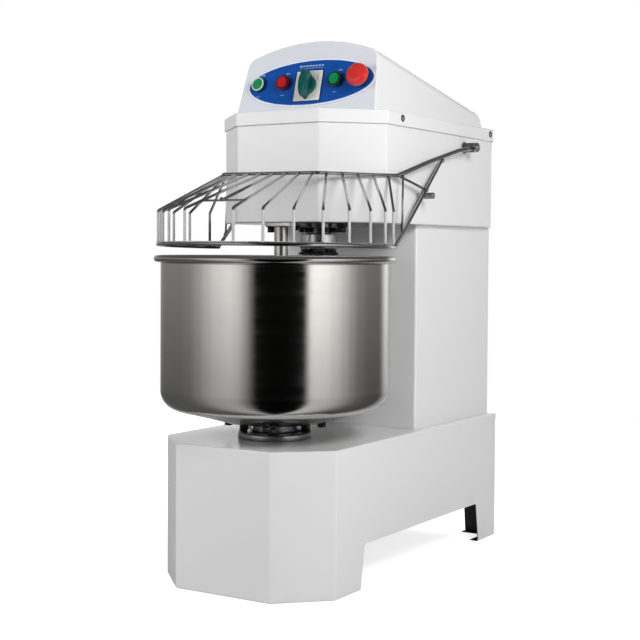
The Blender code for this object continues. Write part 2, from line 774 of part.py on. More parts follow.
def make_lower_drive():
    x, y = COUNTERSHAFT_AXIS
    shaft = rod("countershaft", SHAFT_RADIUS, 0.105, 0.243, DARK_STEEL, at=(x, y, 0))
    low_wheel = (LOW_CHAIN_Z[0] + 0.001, LOW_CHAIN_Z[1] - 0.001)
    join(
        shaft,
        rod("countershaft_pinion", COUNTERSHAFT_PINION, *low_wheel, at=(x, y, 0)),
        turned("countershaft_pulley", solid_wheel(COUNTERSHAFT_WHEEL, LOW_BELT_Z), sides=28, at=(x, y, 0)),
    )
    bracket = [
        (0.045, BASE_TOP - 0.002 - GAP),
        (0.045, 0.2400),
        (0.028, 0.2360),
        (0.028, 0.2030),
        (0.0126, 0.2030),
        (0.0126, BASE_TOP - 0.002 - GAP),
    ]
    turned("countershaft_bearing", bracket, CAST, closed=True, at=(x, y, 0))
    wheels = ((0, 0), BOWL_WHEEL, COUNTERSHAFT_AXIS, COUNTERSHAFT_PINION)
    make_loop("bowl_chain", *wheels, LOW_CHAIN_Z, CHAIN_THICKNESS, DARK_STEEL)
    wheels = (COUNTERSHAFT_AXIS, COUNTERSHAFT_WHEEL, JACKSHAFT_AXIS, JACKSHAFT_PINION)
    make_loop("countershaft_belt", *wheels, LOW_BELT_Z, BELT_THICKNESS, RUBBER)


def make_upper_drive():
    x, y = JACKSHAFT_AXIS
    shaft = rod("jackshaft", SHAFT_RADIUS, 0.165, 0.704, DARK_STEEL, at=(x, y, 0))
    sprocket = (CHAIN_Z[0] + 0.001, CHAIN_Z[1] - 0.001)
    join(
        shaft,
        turned("jackshaft_pinion", solid_wheel(JACKSHAFT_PINION, LOW_BELT_Z), at=(x, y, 0)),
        rod("jackshaft_sprocket", JACKSHAFT_SPROCKET, *sprocket, at=(x, y, 0)),
    )
    wheel = grooved_rim(JACKSHAFT_WHEEL, BELT_Z)
    wheel += [(0.070, BELT_Z[0]), (0.070, 0.675), (0.025, 0.675), (0.025, 0.660), (0.0124, 0.660)]
    wheel += [(0.0124, 0.690), (0.025, 0.690), (0.025, 0.681), (0.070, 0.681), (0.070, BELT_Z[1])]
    turned("jackshaft_pulley", wheel, CAST, sides=28, closed=True, at=(x, y, 0))
    plate = 0.006
    for end, low in (("upper", HEAD_BOTTOM + SHEET + GAP), ("lower", BASE_TOP + GAP)):
        profile = [
            (0.026, low + 0.015),
            (0.026, low + plate),
            (0.040, low + plate),
            (0.040, low),
            (0.0126, low),
            (0.0126, low + 0.015),
        ]
        turned(f"jackshaft_bearing_{end}", profile, CAST, closed=True, at=(x, y, 0))

    mx, my = MOTOR_AXIS
    frame = [(0, 0.6057), (0.060, 0.6057), (0.078, 0.598), (0.078, 0.420)]
    fan_cover = [(0.070, 0.395), (0.040, 0.385), (0, 0.385)]
    motor = turned("motor_body", frame + fan_cover, MOTOR_GREY, at=(mx, my, 0))
    join(motor, box("motor_terminal_box", (0.020, 0.070, 0.480), (-0.050, 0.112, 0.560), at=(mx, my, 0)))
    plate = box("motor_plate", (-0.154, 0.232, 0.606), (0.154, 0.402, 0.612), STEEL)
    cut(plate, rod("motor_plate_hole", 0.018, 0.58, 0.63, at=(mx, my, 0)))
    pulley = rod("motor_pulley", 0.011, 0.609, 0.696, DARK_STEEL, at=(mx, my, 0))
    join(pulley, turned("motor_wheel", solid_wheel(MOTOR_WHEEL, BELT_Z), at=(mx, my, 0)))
    wheels = (MOTOR_AXIS, MOTOR_WHEEL, JACKSHAFT_AXIS, JACKSHAFT_WHEEL)
    make_loop("drive_belt", *wheels, BELT_Z, BELT_THICKNESS, RUBBER)
    wheels = (HOOK_AXIS, HOOK_WHEEL, JACKSHAFT_AXIS, JACKSHAFT_SPROCKET)
    make_loop("hook_chain", *wheels, CHAIN_Z, CHAIN_THICKNESS, DARK_STEEL)
    enclosure = box("control_box", (-0.155, 0.250, 0.300), (-0.075, 0.340, 0.470), MOTOR_GREY)
    bevel(enclosure, 0.003, 1)


# ---------------------------------------------------------------- hook and breaker


def hook_path(turns=1.15, steps=24):
    """The bar's centre line about the hook's axis: a falling spiral that closes in at its foot."""
    start, foot = HOOK_Z
    points = [(0, 0, start + HOOK_BAR), (0, 0, start)]
    for i in range(steps + 1):
        share = i / steps
        ease_in = min(1.0, share / 0.28)
        ease_out = max(0.0, (share - 0.80) / 0.20)
        radius = HOOK_SWEEP * math.sin(ease_in * math.pi / 2) - 0.024 * ease_out * ease_out
        angle = math.tau * turns * share + math.radians(150)
        fall = share ** 1.15
        height = start + (foot - start) * fall
        if i > 0:
            points.append((radius * math.cos(angle), radius * math.sin(angle), height))
    return points


def make_hook():
    place = {"at": (*HOOK_AXIS, 0)}
    shaft = [(0, 0.662), (0.015, 0.662), (0.015, 0.6057)]
    drum = [(0.0345, 0.6057), (0.0345, 0.5793), (0, 0.5793)]
    turned("hook_shaft", shaft + drum, STEEL, sides=24, **place)
    flange = [(0, 0.5790), (0.036, 0.5790), (0.036, 0.5680), (0, 0.5680)]
    turned("hook_flange", flange, DARK_STEEL, sides=24, **place)
    bar = wire("spiral_hook", hook_path(), HOOK_BAR, STEEL, sides=2, **place)
    boss = [(0, 0.5677), (0.030, 0.5677), (0.030, 0.560), (0.017, 0.552), (0, 0.552)]
    join(bar, turned("hook_boss", boss, **place))
    turned(
        "hook_sprocket",
        [
            (HOOK_WHEEL, CHAIN_Z[1] - 0.001),
            (HOOK_WHEEL, CHAIN_Z[0] + 0.001),
            (0.025, CHAIN_Z[0] + 0.001),
            (0.0153, CHAIN_Z[0] + 0.001),
            (0.0153, 0.660),
            (0.025, 0.660),
            (0.025, CHAIN_Z[1] - 0.001),
        ],
        DARK_STEEL,
        sides=28,
        closed=True,
        **place,
    )
    turned(
        "hook_bearing_housing",
        [
            (0.029, 0.6420),
            (0.029, HEAD_BOTTOM - GAP),
            (0.0365, HEAD_BOTTOM - GAP),
            (0.0365, 0.6060),
            (0.0160, 0.6060),
            (0.0160, 0.6220),
            (0.0250, 0.6220),
            (0.0250, 0.6420),
        ],
        CAST,
        sides=20,
        closed=True,
        **place,
    )
    ring("hook_bearing", 0.0242, 0.0156, 0.6230, 0.6380, HOOK_AXIS, STEEL)

    x, y = BREAKER_AXIS
    plate = box("breaker_mount_plate", (-0.028, 0.0055, 0.6180), (0.028, 0.0560, HEAD_BOTTOM - GAP), STEEL)
    bevel(plate, 0.001, 1)
    breaker = [(0, 0.6177), (BREAKER_RADIUS, 0.6177), (BREAKER_RADIUS, 0.310), (0.006, 0.303), (0, 0.302)]
    turned("breaker_bar", breaker, STEEL, at=(x, y, 0))


# ---------------------------------------------------------------- guard


def guard_ring_point(angle, height, radius=GUARD_RADIUS):
    return (radius * math.sin(angle), -radius * math.cos(angle), height)


def guard_bar_top(index):
    """Where bar number index meets the upper rod."""
    side = -1 if index < 0 else 1
    count = abs(index)
    if count <= 3:
        return (index * GUARD_STRAIGHT_PITCH, GUARD_FRONT[1], GUARD_TOP_Z)
    share = 0.12 + (count - 4) * 0.19
    x = GUARD_FRONT[0] + (GUARD_CORNER[0] - GUARD_FRONT[0]) * share
    y = GUARD_FRONT[1] + (GUARD_CORNER[1] - GUARD_FRONT[1]) * share
    return (side * x, y, GUARD_TOP_Z)


def guard_bar(index):
    angle = index * GUARD_PITCH
    low = guard_ring_point(angle, GUARD_RING_Z)
    bend = Vector(guard_ring_point(angle, GUARD_BEND_Z))
    top = Vector(guard_bar_top(index))
    up = Vector((0, 0, 1))
    inward = (top - bend).normalized()
    run = 0.008
    return [low, bend - up * run, bend + inward * run, tuple(top)]


def mirrored(points, side):
    return [(side * x, y, z) for x, y, z in points]


def make_guard():
    steps = 24
    turns = [-GUARD_ARC + 2 * GUARD_ARC * i / steps for i in range(steps + 1)]
    place = {"at": (0, *PIVOT)}
    shift = Vector((0, -PIVOT[0], -PIVOT[1]))

    def strand(name, points, radius, sides=1, surface=None):
        return wire(name, [Vector(p) + shift for p in points], radius, surface, sides=sides, **place)

    ring_path = [guard_ring_point(a, GUARD_RING_Z) for a in turns]
    cage = strand("guard_cage", ring_path, RING_WIRE, surface=CHROME)
    corner = (*GUARD_CORNER, GUARD_TOP_Z)
    front = (*GUARD_FRONT, GUARD_TOP_Z)
    upper_rod = mirrored([corner, front], -1) + [front, corner]
    wires = [strand("guard_upper_rod", upper_rod, BRACE_WIRE)]
    wires += [strand(f"guard_bar_{i}", guard_bar(i), BAR_WIRE, 0) for i in range(-GUARD_BARS, GUARD_BARS + 1)]
    share = (GRAB_Z - GUARD_BEND_Z) / (GUARD_TOP_Z - GUARD_BEND_Z)
    grab_end = Vector(guard_ring_point(GUARD_PITCH, GUARD_BEND_Z)).lerp(Vector(guard_bar_top(1)), share)
    grab = []
    for i in range(-4, 5):
        swell = 1 - (i / 4) ** 2
        grab.append((grab_end.x * i / 4, grab_end.y - GRAB_SWELL * swell, GRAB_Z))
    wires.append(strand("guard_grab_wire", grab, GRAB_WIRE))
    for side, name in ((-1, "left"), (1, "right")):
        ring_end = guard_ring_point(GUARD_ARC, GUARD_RING_Z)
        foot = (ring_end[0], ring_end[1] + 0.001, ring_end[2])
        hub_end = (ARM_X, PIVOT[0] - 0.0095, PIVOT[1] - 0.0019)
        arm = [corner, (ARM_X, 0.215, 0.7395), (ARM_X, 0.330, 0.7650), hub_end]
        brace = [(ARM_X, 0.262, 0.743), (ARM_X, 0.176, 0.664), foot]
        link = [corner, (ARM_X, 0.202, 0.687)]
        end_bar = [corner, (GUARD_CORNER[0], 0.112, 0.606)]
        for label, points, radius in (
            ("arm", arm, ARM_WIRE),
            ("brace", brace, BRACE_WIRE),
            ("link", link, BAR_WIRE),
            ("end_bar", end_bar, BAR_WIRE),
        ):
            wires.append(strand(f"guard_{label}_{name}", mirrored(points, side), radius))
    group = bpy.data.collections.new("guard_wires")
    CUTTERS.children.link(group)
    for piece in wires:
        group.objects.link(piece)
        CUTTERS.objects.unlink(piece)
    weld = cage.modifiers.new("welds", "BOOLEAN")
    weld.operation = "UNION"
    weld.solver = "EXACT"
    weld.operand_type = "COLLECTION"
    weld.collection = group



def make_guard_pivots():
    hub = [
        (0, 0.0355),
        (0.0060, 0.0355),
        (0.0085, 0.0340),
        (0.0085, 0.0318),
        (0.0092, 0.0318),
        (0.0092, 0.0060),
        (0.0060, 0.0060),
        (0.0060, -0.0300),
        (0, -0.0300),
    ]
    bush = [
        (0.0115, 0.0055),
        (0.0115, 0.0020),
        (0.0080, 0.0020),
        (0.0080, -0.0100),
        (0.0062, -0.0100),
        (0.0062, 0.0055),
    ]
    pin = [(0, 0.0330), (0.0045, 0.0330), (0.0056, 0.0315), (0.0056, 0), (0, 0)]
    for side, name in ((-1, "left"), (1, "right")):
        turn = (0, side * math.pi / 2, 0)
        at = (side * PIVOT_WALL, *PIVOT)
        turned(f"guard_pivot_{name}", hub, CHROME, at=at, turn=turn)
        turned(f"pivot_bush_{name}", bush, STEEL, closed=True, at=at, turn=turn)
        at = (side * (HEAD_HALF_WIDTH + GAP), *STOP_PIN)
        turned(f"guard_stop_{name}", pin, STEEL, at=at, turn=turn)
    box("guard_limit_switch", (0.100, 0.375, 0.790), (0.140, 0.401, 0.8105), BLACK)


make_base()
make_column()
make_head()
make_top_cover()
make_lid_screws()
make_gland()
make_controls()
make_bowl()
make_lower_drive()
make_upper_drive()
make_hook()
make_guard()
make_guard_pivots()
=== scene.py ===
"""Looks of the commercial stand mixer: fine shells, bowl, guard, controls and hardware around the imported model.

Units are metres. Shapes are built in the machine's own frame, whose Z axis is the bowl's axis, and then moved to
the bowl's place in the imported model. Pieces on the sloping panel are built on the panel's plane.
"""

from math import asin, copysign, cos, pi, radians, sin, sqrt, tan, tau

import bmesh
import bpy
from mathutils import Matrix, Vector


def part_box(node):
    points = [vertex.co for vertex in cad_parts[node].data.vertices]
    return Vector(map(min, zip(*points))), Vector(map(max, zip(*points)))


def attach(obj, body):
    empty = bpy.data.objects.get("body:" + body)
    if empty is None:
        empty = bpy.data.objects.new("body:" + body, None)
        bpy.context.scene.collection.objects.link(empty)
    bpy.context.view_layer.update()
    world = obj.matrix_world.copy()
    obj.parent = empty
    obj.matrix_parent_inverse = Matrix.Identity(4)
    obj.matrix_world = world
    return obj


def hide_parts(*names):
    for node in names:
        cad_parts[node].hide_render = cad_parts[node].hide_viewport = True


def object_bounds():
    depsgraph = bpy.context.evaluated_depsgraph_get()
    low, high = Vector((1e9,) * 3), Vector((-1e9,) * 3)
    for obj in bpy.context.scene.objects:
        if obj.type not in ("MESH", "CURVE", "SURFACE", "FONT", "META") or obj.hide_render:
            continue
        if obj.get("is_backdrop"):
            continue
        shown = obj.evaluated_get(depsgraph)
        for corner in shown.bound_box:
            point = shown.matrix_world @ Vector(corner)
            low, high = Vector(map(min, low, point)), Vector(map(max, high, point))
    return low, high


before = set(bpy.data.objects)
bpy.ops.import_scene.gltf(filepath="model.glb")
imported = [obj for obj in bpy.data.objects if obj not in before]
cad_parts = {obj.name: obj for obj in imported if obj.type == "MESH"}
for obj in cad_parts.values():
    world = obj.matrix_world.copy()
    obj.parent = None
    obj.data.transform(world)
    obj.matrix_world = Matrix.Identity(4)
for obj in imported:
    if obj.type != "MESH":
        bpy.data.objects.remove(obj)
CAD_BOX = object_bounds()


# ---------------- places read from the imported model


def middle(node):
    low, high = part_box(node)
    return (low + high) / 2


AXIS = Vector((0, middle("bowl").y, 0))


def corners_of(node):
    """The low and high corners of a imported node, in the machine's frame."""
    return [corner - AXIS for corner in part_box(node)]


BASE_LOW, BASE_HIGH = corners_of("base_housing")
COLUMN_LOW, COLUMN_HIGH = corners_of("column_housing")
HEAD_LOW, HEAD_HIGH = corners_of("head_housing")
LID_LOW = corners_of("top_cover")[0]
COVER_LOW, COVER_HIGH = corners_of("rear_cover")
HOOK_AT = middle("hook_flange") - AXIS
BREAKER_AT = middle("breaker_bar") - AXIS
PIVOT_AT = middle("guard_pivot_right") - AXIS
STOP_AT = middle("guard_stop_right") - AXIS
GLAND_AT = middle("cable_gland") - AXIS

SIDES = ((-1, "left"), (1, "right"))
SHEET = 0.0016
SHEET_BEND = 0.0042
SHEET_EDGE = 0.0028
WELD = 0.000001
BASE_CORNER = (0.08, 0.078)
BASE_FLANGE = 0.018
ARCH_TOP = 0.077
ARCH_CORNER = 0.004
COLUMN_LIP = 0.022
HEAD_CORNER = (0.0865, 0.0845)
HEAD_REAR_RADIUS = 0.028
LID_OVERHANG = 0.0031
LID_TOP = 0.82
LID_SCREW_Z = 0.8095
LID_SCREW_Y = (0.139, 0.505)
LOUVRES = [0.33 + row * 0.018 for row in range(6)]
LOUVRE_HALF = 0.06
GLAND_FACE = 0.545

HOOD_HALF_WIDTH = 0.149
HOOD_LEAN = 0.1056
HOOD_FRONT = 0.0863
HOOD_REAR = 0.535
HOOD_TAIL = 0.034
HOOD_EDGE = 0.927
HOOD_CREST = 0.955
HOOD_BROW = 0.138
HOOD_FALL = 0.196
HOOD_FALL_START = 0.12
HOOD_CORNER = 0.012
PANEL_SLOPE = radians(74.74)
PANEL_ORIGIN = Vector((0.0, 0.0885, 0.828))
PANEL_TURN = Matrix.Rotation(PANEL_SLOPE, 4, "X")
PANEL = Matrix.Translation(AXIS + PANEL_ORIGIN) @ PANEL_TURN

BUTTON_ROW = 0.053
SPEED_ROW = 0.045
CONTROL_X = {"lamp": -0.105, "stop": -0.051, "speed": 0.003, "start": 0.06, "emergency": 0.113}
SWITCH_HOLE = 0.0113
FASCIA_CENTRE = (0.0053, 0.0515)
FASCIA_HALF = (0.1345, 0.0447)
FASCIA_TILT = radians(1.0)
FASCIA_TOP = 0.0018
FASCIA_FOOT = 0.0003
FASCIA_BORDER = 0.0027
CONTROL_FOOT = FASCIA_TOP + 0.0003

BOWL_RADIUS = 0.2
BOWL_SHEET = 0.002
BOWL_CORNER = 0.0335
BOWL_CORNER_Z = 0.3326
BOWL_FLOOR_Z = 0.2763
BOWL_FLOOR_RADIUS = 0.086
BOWL_DISH = 75
RIM_Z = 0.5607
RIM_BEAD = 0.0062
RIM_RADIUS = 0.212
BAR_RADIUS = 0.012

GUARD_RADIUS = 0.206
GUARD_RING_Z = 0.583
GUARD_BEND_Z = 0.6435
GUARD_TOP_Z = 0.71
GUARD_ARC = radians(114)
GUARD_CORNER = (0.1845, 0.1045)
GUARD_FRONT = (0.097, -0.022)
GUARD_BARS = 8
GUARD_PITCH = radians(13.65)
GUARD_TURN = radians(0.4)
GUARD_SHIFT = 0.0022
GUARD_TILT = 0.0086
GUARD_RING_FALL = 0.0172
GUARD_TOP_PITCH = 0.026
GUARD_TOP_SLIP = 0.0115
GRAB_Z = 0.6575
RING_WIRE = 0.00375
GRAB_WIRE = 0.0019
ROD_WIRE = 0.0033
BAR_WIRE = 0.0025
ARM_WIRE = 0.004


# ---------------- materials


def node(tree, kind, *values, operation=None, **inputs):
    """A new node; values in order and inputs by name, with _ for a space, are numbers or other nodes' outputs."""
    made = tree.nodes.new("ShaderNode" + kind)
    if operation:
        made.operation = operation
    pairs = list(zip(made.inputs, values))
    pairs += [(made.inputs[name.replace("_", " ")], value) for name, value in inputs.items()]
    for socket, value in pairs:
        if isinstance(value, bpy.types.NodeSocket):
            tree.links.new(value, socket)
        else:
            socket.default_value = value
    return made


def map_range(tree, source, start, end, low=0.0, high=1.0, shape="LINEAR"):
    made = node(tree, "MapRange", Value=source, From_Min=start, From_Max=end, To_Min=low, To_Max=high)
    made.interpolation_type = shape
    return made.outputs["Result"]


def shader_of(name, colour, roughness, metallic=0.0, **sockets):
    """A Principled material and its shader node; further sockets are set by name."""
    made = bpy.data.materials.new(name)
    made.use_nodes = True
    shader = made.node_tree.nodes["Principled BSDF"]
    sockets.update(Base_Color=(*colour, 1), Roughness=roughness, Metallic=metallic)
    for socket, value in sockets.items():
        shader.inputs[socket.replace("_", " ")].default_value = value
    return made, shader


def noise(tree, scale, detail=3.0, stretch=(1, 1, 1)):
    """Noise in the object's own metres."""
    spot = node(tree, "TexCoord").outputs["Object"]
    sized = node(tree, "Mapping", Vector=spot, Scale=stretch).outputs["Vector"]
    return node(tree, "TexNoise", Vector=sized, Scale=scale, Detail=detail).outputs["Fac"]


def vary(tree, source, shader, low, high):
    """Drive the roughness between two values."""
    tree.links.new(map_range(tree, source, 0.3, 0.7, low, high), shader.inputs["Roughness"])


def tint(tree, source, shader, first, second):
    """Drive the colour between two colours."""
    ramp = node(tree, "ValToRGB", Fac=source)
    for stop, position, colour in zip(ramp.color_ramp.elements, (0.3, 0.7), (first, second)):
        stop.position = position
        stop.color = (*colour, 1)
    tree.links.new(ramp.outputs["Color"], shader.inputs["Base Color"])


def bump(tree, source, shader, strength, distance):
    relief = node(tree, "Bump", Height=source, Strength=strength, Distance=distance)
    tree.links.new(relief.outputs["Normal"], shader.inputs["Normal"])


def darker(colour, share):
    return tuple(share * value for value in colour)


def powder_coat(name, colour):
    """Glossy powder coat with faint orange peel."""
    made, shader = shader_of(name, colour, 0.25, Coat_Weight=0.25, Coat_Roughness=0.08)
    tree = made.node_tree
    bump(tree, noise(tree, 420, 2), shader, 0.05, 0.0004)
    cloud = noise(tree, 5, 1)
    vary(tree, cloud, shader, 0.255, 0.265)
    deeper, paler = (tuple(part + step for part in colour) for step in (-0.002, 0.002))
    tint(tree, cloud, shader, deeper, paler)
    return made


def spun_steel(name, colour, roughness):
    """Stainless steel turned on a lathe: fine lines around Z and reflections drawn out along Z."""
    made, shader = shader_of(name, colour, roughness, 1.0, Anisotropic=0.6)
    tree = made.node_tree
    bump(tree, noise(tree, 900, 2, (0.01, 0.01, 1)), shader, 0.04, 0.0001)
    vary(tree, noise(tree, 160, 3, (0.02, 0.02, 1)), shader, roughness * 0.8, roughness * 1.3)
    tint(tree, noise(tree, 14, 4), shader, darker(colour, 0.94), colour)
    turn = node(tree, "Tangent")
    turn.direction_type = "RADIAL"
    turn.axis = "Z"
    tree.links.new(turn.outputs["Tangent"], shader.inputs["Tangent"])
    return made


def metal(name, colour, roughness, spread=0.06, grain=300, metallic=1.0):
    made, shader = shader_of(name, colour, roughness, metallic)
    tree = made.node_tree
    cloud = noise(tree, grain, 3)
    vary(tree, cloud, shader, max(0.02, roughness - spread), roughness + spread)
    tint(tree, noise(tree, 60, 4), shader, darker(colour, 0.85), colour)
    bump(tree, cloud, shader, 0.06, 0.0002)
    return made


def plastic(name, colour, roughness, coat=0.0):
    made, shader = shader_of(name, colour, roughness, Coat_Weight=coat, Coat_Roughness=0.05)
    tree = made.node_tree
    cloud = noise(tree, 45, 3)
    tint(tree, cloud, shader, darker(colour, 0.88), colour)
    vary(tree, cloud, shader, roughness * 0.85, roughness * 1.15)
    bump(tree, noise(tree, 1800, 2), shader, 0.08, 0.0001)
    return made


WHITE = powder_coat("white_powder_coat", (0.82, 0.82, 0.825))
# A darker, bluish copy of the white coat for the hood's front panel: painted shade, the panel darker than the lit
# sides.
PANEL_SHADE_COAT = powder_coat("panel_coat_painted_shade", (0.72, 0.75, 0.8))
BOWL_STEEL = spun_steel("spun_stainless", (0.63, 0.615, 0.585), 0.1)
TURNED_STEEL = spun_steel("turned_stainless", (0.6, 0.59, 0.57), 0.22)
TOOL_STEEL = metal("hook_stainless", (0.62, 0.61, 0.59), 0.2)
CHROME = metal("chromed_wire", (0.54, 0.54, 0.54), 0.06, 0.03)
# Near-black for the inside of the base: painted shade, standing in for the dark inside of the housing.
BASE_INSIDE_SHADE = metal("base_inside_painted_shade", (0.03, 0.03, 0.032), 0.5, 0.1, 120, 0.3)
# A paler, duller grey for the upright parts of the guard bars: painted sheen, a lit copy of the darker chrome wire.
WIRE_SHEEN_GREY = plastic("wire_painted_sheen", (0.6, 0.6, 0.6), 0.36, 0.2)
DULL_STEEL = metal("grey_steel", (0.42, 0.42, 0.415), 0.38)
ZINC = metal("zinc_plate", (0.62, 0.62, 0.6), 0.3)
BLACK_STEEL = metal("blackened_steel", (0.035, 0.035, 0.037), 0.28, 0.06, 300, 0.8)
CAST = metal("machined_iron", (0.33, 0.33, 0.335), 0.34, 0.1, 220, 0.95)
RAW_STEEL = metal("mild_steel", (0.3, 0.29, 0.28), 0.42, 0.1)
MOTOR_PAINT = metal("motor_enamel", (0.1, 0.14, 0.17), 0.45, 0.08, 120, 0.0)
BLUE = plastic("blue_print", (0.002, 0.076, 0.37), 0.32, 0.3)
PALE_BORDER = plastic("pale_border", (0.84, 0.9, 1.0), 0.35)
PRINT_WHITE = plastic("white_print", (0.5, 0.62, 0.86), 0.45)
PRINT_BLACK = plastic("black_print", (0.03, 0.03, 0.035), 0.5)
IVORY = plastic("ivory_plastic", (0.78, 0.78, 0.75), 0.38, 0.2)
GREEN = plastic("green_plastic", (0.0, 0.26, 0.085), 0.3, 0.4)
DEEP_GREEN = plastic("deep_green_plastic", (0.0, 0.035, 0.018), 0.3, 0.4)
RED = plastic("red_plastic", (0.5, 0.008, 0.018), 0.3, 0.4)
DEEP_RED = plastic("deep_red_plastic", (0.1, 0.002, 0.008), 0.32, 0.4)
STOP_RED = plastic("mushroom_red", (0.66, 0.03, 0.025), 0.34, 0.3)
TEAL = plastic("teal_plastic", (0.0, 0.085, 0.075), 0.26, 0.5)
BLACK = plastic("black_plastic", (0.018, 0.018, 0.02), 0.42)
RUBBER = plastic("belt_rubber", (0.014, 0.014, 0.014), 0.7)


# ---------------- meshes and pieces


def finished(shape, weld=False, outward=True):
    """The mesh of a shape, with faces turned outwards and, if asked, points that meet welded."""
    if weld:
        bmesh.ops.remove_doubles(shape, verts=shape.verts, dist=WELD)
    if outward:
        bmesh.ops.recalc_face_normals(shape, faces=shape.faces)
    mesh = bpy.data.meshes.new("mesh")
    shape.to_mesh(mesh)
    shape.free()
    return mesh


def add_object(name, data):
    obj = bpy.data.objects.new(name, data)
    bpy.context.scene.collection.objects.link(obj)
    return obj


def place(name, shape, surface, slot, replaces=(), body="frame", at=(0, 0, 0), on=None, smooth=35, weld=False):
    """Put a shape in the scene, in the machine's frame or on another frame, and tie it to its CAD body."""
    mesh = finished(shape, weld) if isinstance(shape, bmesh.types.BMesh) else shape
    obj = add_object(name, mesh)
    base = Matrix.Translation(AXIS) if on is None else on
    obj.matrix_world = base @ Matrix.Translation(Vector(at))
    if surface:
        mesh.materials.append(surface)
    mesh.shade_smooth()
    mesh.set_sharp_from_angle(angle=radians(smooth))
    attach(obj, body)
    if replaces:
        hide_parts(*replaces)
    return obj


def weigh_normals(obj):
    """Flat faces stay flat next to small rounded edges."""
    even = obj.modifiers.new("even", "WEIGHTED_NORMAL")
    even.keep_sharp = True
    even.weight = 100


def paint(mesh, surfaces, choose):
    """Give a mesh its surfaces; choose says which of them a face takes."""
    for surface in surfaces:
        mesh.materials.append(surface)
    for face in mesh.polygons:
        face.material_index = int(choose(face))


def loft(shape, loops, closed=True, first=False, last=False):
    """Faces through loops of equal length; first and last close the end loops with a face."""
    rings = [[shape.verts.new(point) for point in loop] for loop in loops]
    count = len(rings[0])
    for lower, upper in zip(rings, rings[1:]):
        for i in range(count if closed else count - 1):
            j = (i + 1) % count
            shape.faces.new((lower[i], lower[j], upper[j], upper[i]))
    if first:
        shape.faces.new(rings[0][::-1])
    if last:
        shape.faces.new(rings[-1])
    return rings


def capped(shape, loops):
    """A closed body through loops, with a face at each end."""
    loft(shape, loops, first=True, last=True)


def solid(loops):
    shape = bmesh.new()
    capped(shape, loops)
    return finished(shape)


def around(radius, angle, height=0.0):
    return Vector((radius * cos(angle), radius * sin(angle), height))


def arc(centre, radius, start, end, steps):
    """Points on a circle from start to end, in degrees."""
    turns = [radians(start + (end - start) * i / steps) for i in range(steps + 1)]
    return [(centre[0] + radius * cos(a), centre[1] + radius * sin(a)) for a in turns]


def quarter_turn(steps):
    return [pi / 2 * i / steps for i in range(steps + 1)]


def standing(at, axis):
    return Matrix.Translation(Vector(at)) @ (axis or Matrix.Identity(4))


def turned(shape, profile, sides, at=(0, 0, 0), axis=None):
    """A turned body from (radius, height) points that run down its outer side; radius 0 closes an end."""
    turn = standing(at, axis)
    rings = []
    for radius, height in profile:
        spots = [around(radius, tau * i / sides, height) for i in range(sides if radius else 1)]
        rings.append([shape.verts.new(turn @ spot) for spot in spots])
    for upper, lower in zip(rings, rings[1:]):
        for i in range(sides):
            j = (i + 1) % sides
            if len(upper) == 1:
                shape.faces.new((upper[0], lower[i], lower[j]))
            elif len(lower) == 1:
                shape.faces.new((upper[j], upper[i], lower[0]))
            else:
                shape.faces.new((upper[j], upper[i], lower[i], lower[j]))


def turned_mesh(profile, sides, axis=None, weld=False):
    shape = bmesh.new()
    turned(shape, profile, sides, axis=axis)
    return finished(shape, weld)


def curve(start, corner, end, steps):
    """Points on the curve that rounds a corner off."""
    shares = [i / steps for i in range(steps + 1)]
    return [start.lerp(corner, t).lerp(corner.lerp(end, t), t) for t in shares]


def corners_in(points):
    """Each inner point with the steps to the points before and after it."""
    for before, corner, after in zip(points, points[1:], points[2:]):
        spot = Vector(corner)
        yield spot, Vector(before) - spot, Vector(after) - spot


def eased(profile, radius=0.0006, steps=2):
    """A profile whose corners are rounded off."""
    made = [profile[0]]
    for corner, back, on in corners_in(profile):
        reach = min(radius, back.length * 0.45, on.length * 0.45)
        back, on = back.normalized(), on.normalized()
        if reach < 1e-6 or abs(back.dot(on)) > 0.985:
            made.append(tuple(corner))
        else:
            made += [tuple(p) for p in curve(corner + back * reach, corner, corner + on * reach, steps)]
    return made + [profile[-1]]


def bend_path(points, radius, steps=5):
    """A polyline in space with its corners bent to a radius."""
    made = [Vector(points[0])]
    for corner, back, on in corners_in(points):
        room = min(back.length * 0.45, on.length * 0.45)
        back, on = back.normalized(), on.normalized()
        reach = min(radius / max(tan(back.angle(on) / 2), 0.05), room)
        made += curve(corner + back * reach, corner, corner + on * reach, steps)
    return made + [Vector(points[-1])]


def sweep(shape, points, radius, sides=12):
    """A round bar along points, with rounded ends; the radius may be a list with one for each point."""
    points = [Vector(p) for p in points]
    final = len(points) - 1
    radii = radius if isinstance(radius, list) else [radius] * len(points)
    headings = [(points[min(i + 1, final)] - points[max(i - 1, 0)]).normalized() for i in range(final + 1)]
    side = headings[0].orthogonal().normalized()
    loops = []
    for i, (point, heading, radius) in enumerate(zip(points, headings, radii)):
        side = (side - heading * side.dot(heading)).normalized()
        across = heading.cross(side)
        ring = [side * cos(tau * k / sides) + across * sin(tau * k / sides) for k in range(sides)]
        if i == 0:
            loops.append([point - heading * radius * 0.35 + v * radius * 0.72 for v in ring])
        loops.append([point + v * radius for v in ring])
        if i == final:
            loops.append([point + heading * radius * 0.35 + v * radius * 0.72 for v in ring])
    capped(shape, loops)


def lump(shape, at, radius, flat=1.0):
    """A weld bead."""
    for vert in bmesh.ops.create_icosphere(shape, subdivisions=2, radius=radius)["verts"]:
        vert.co.z *= flat
        vert.co += Vector(at)


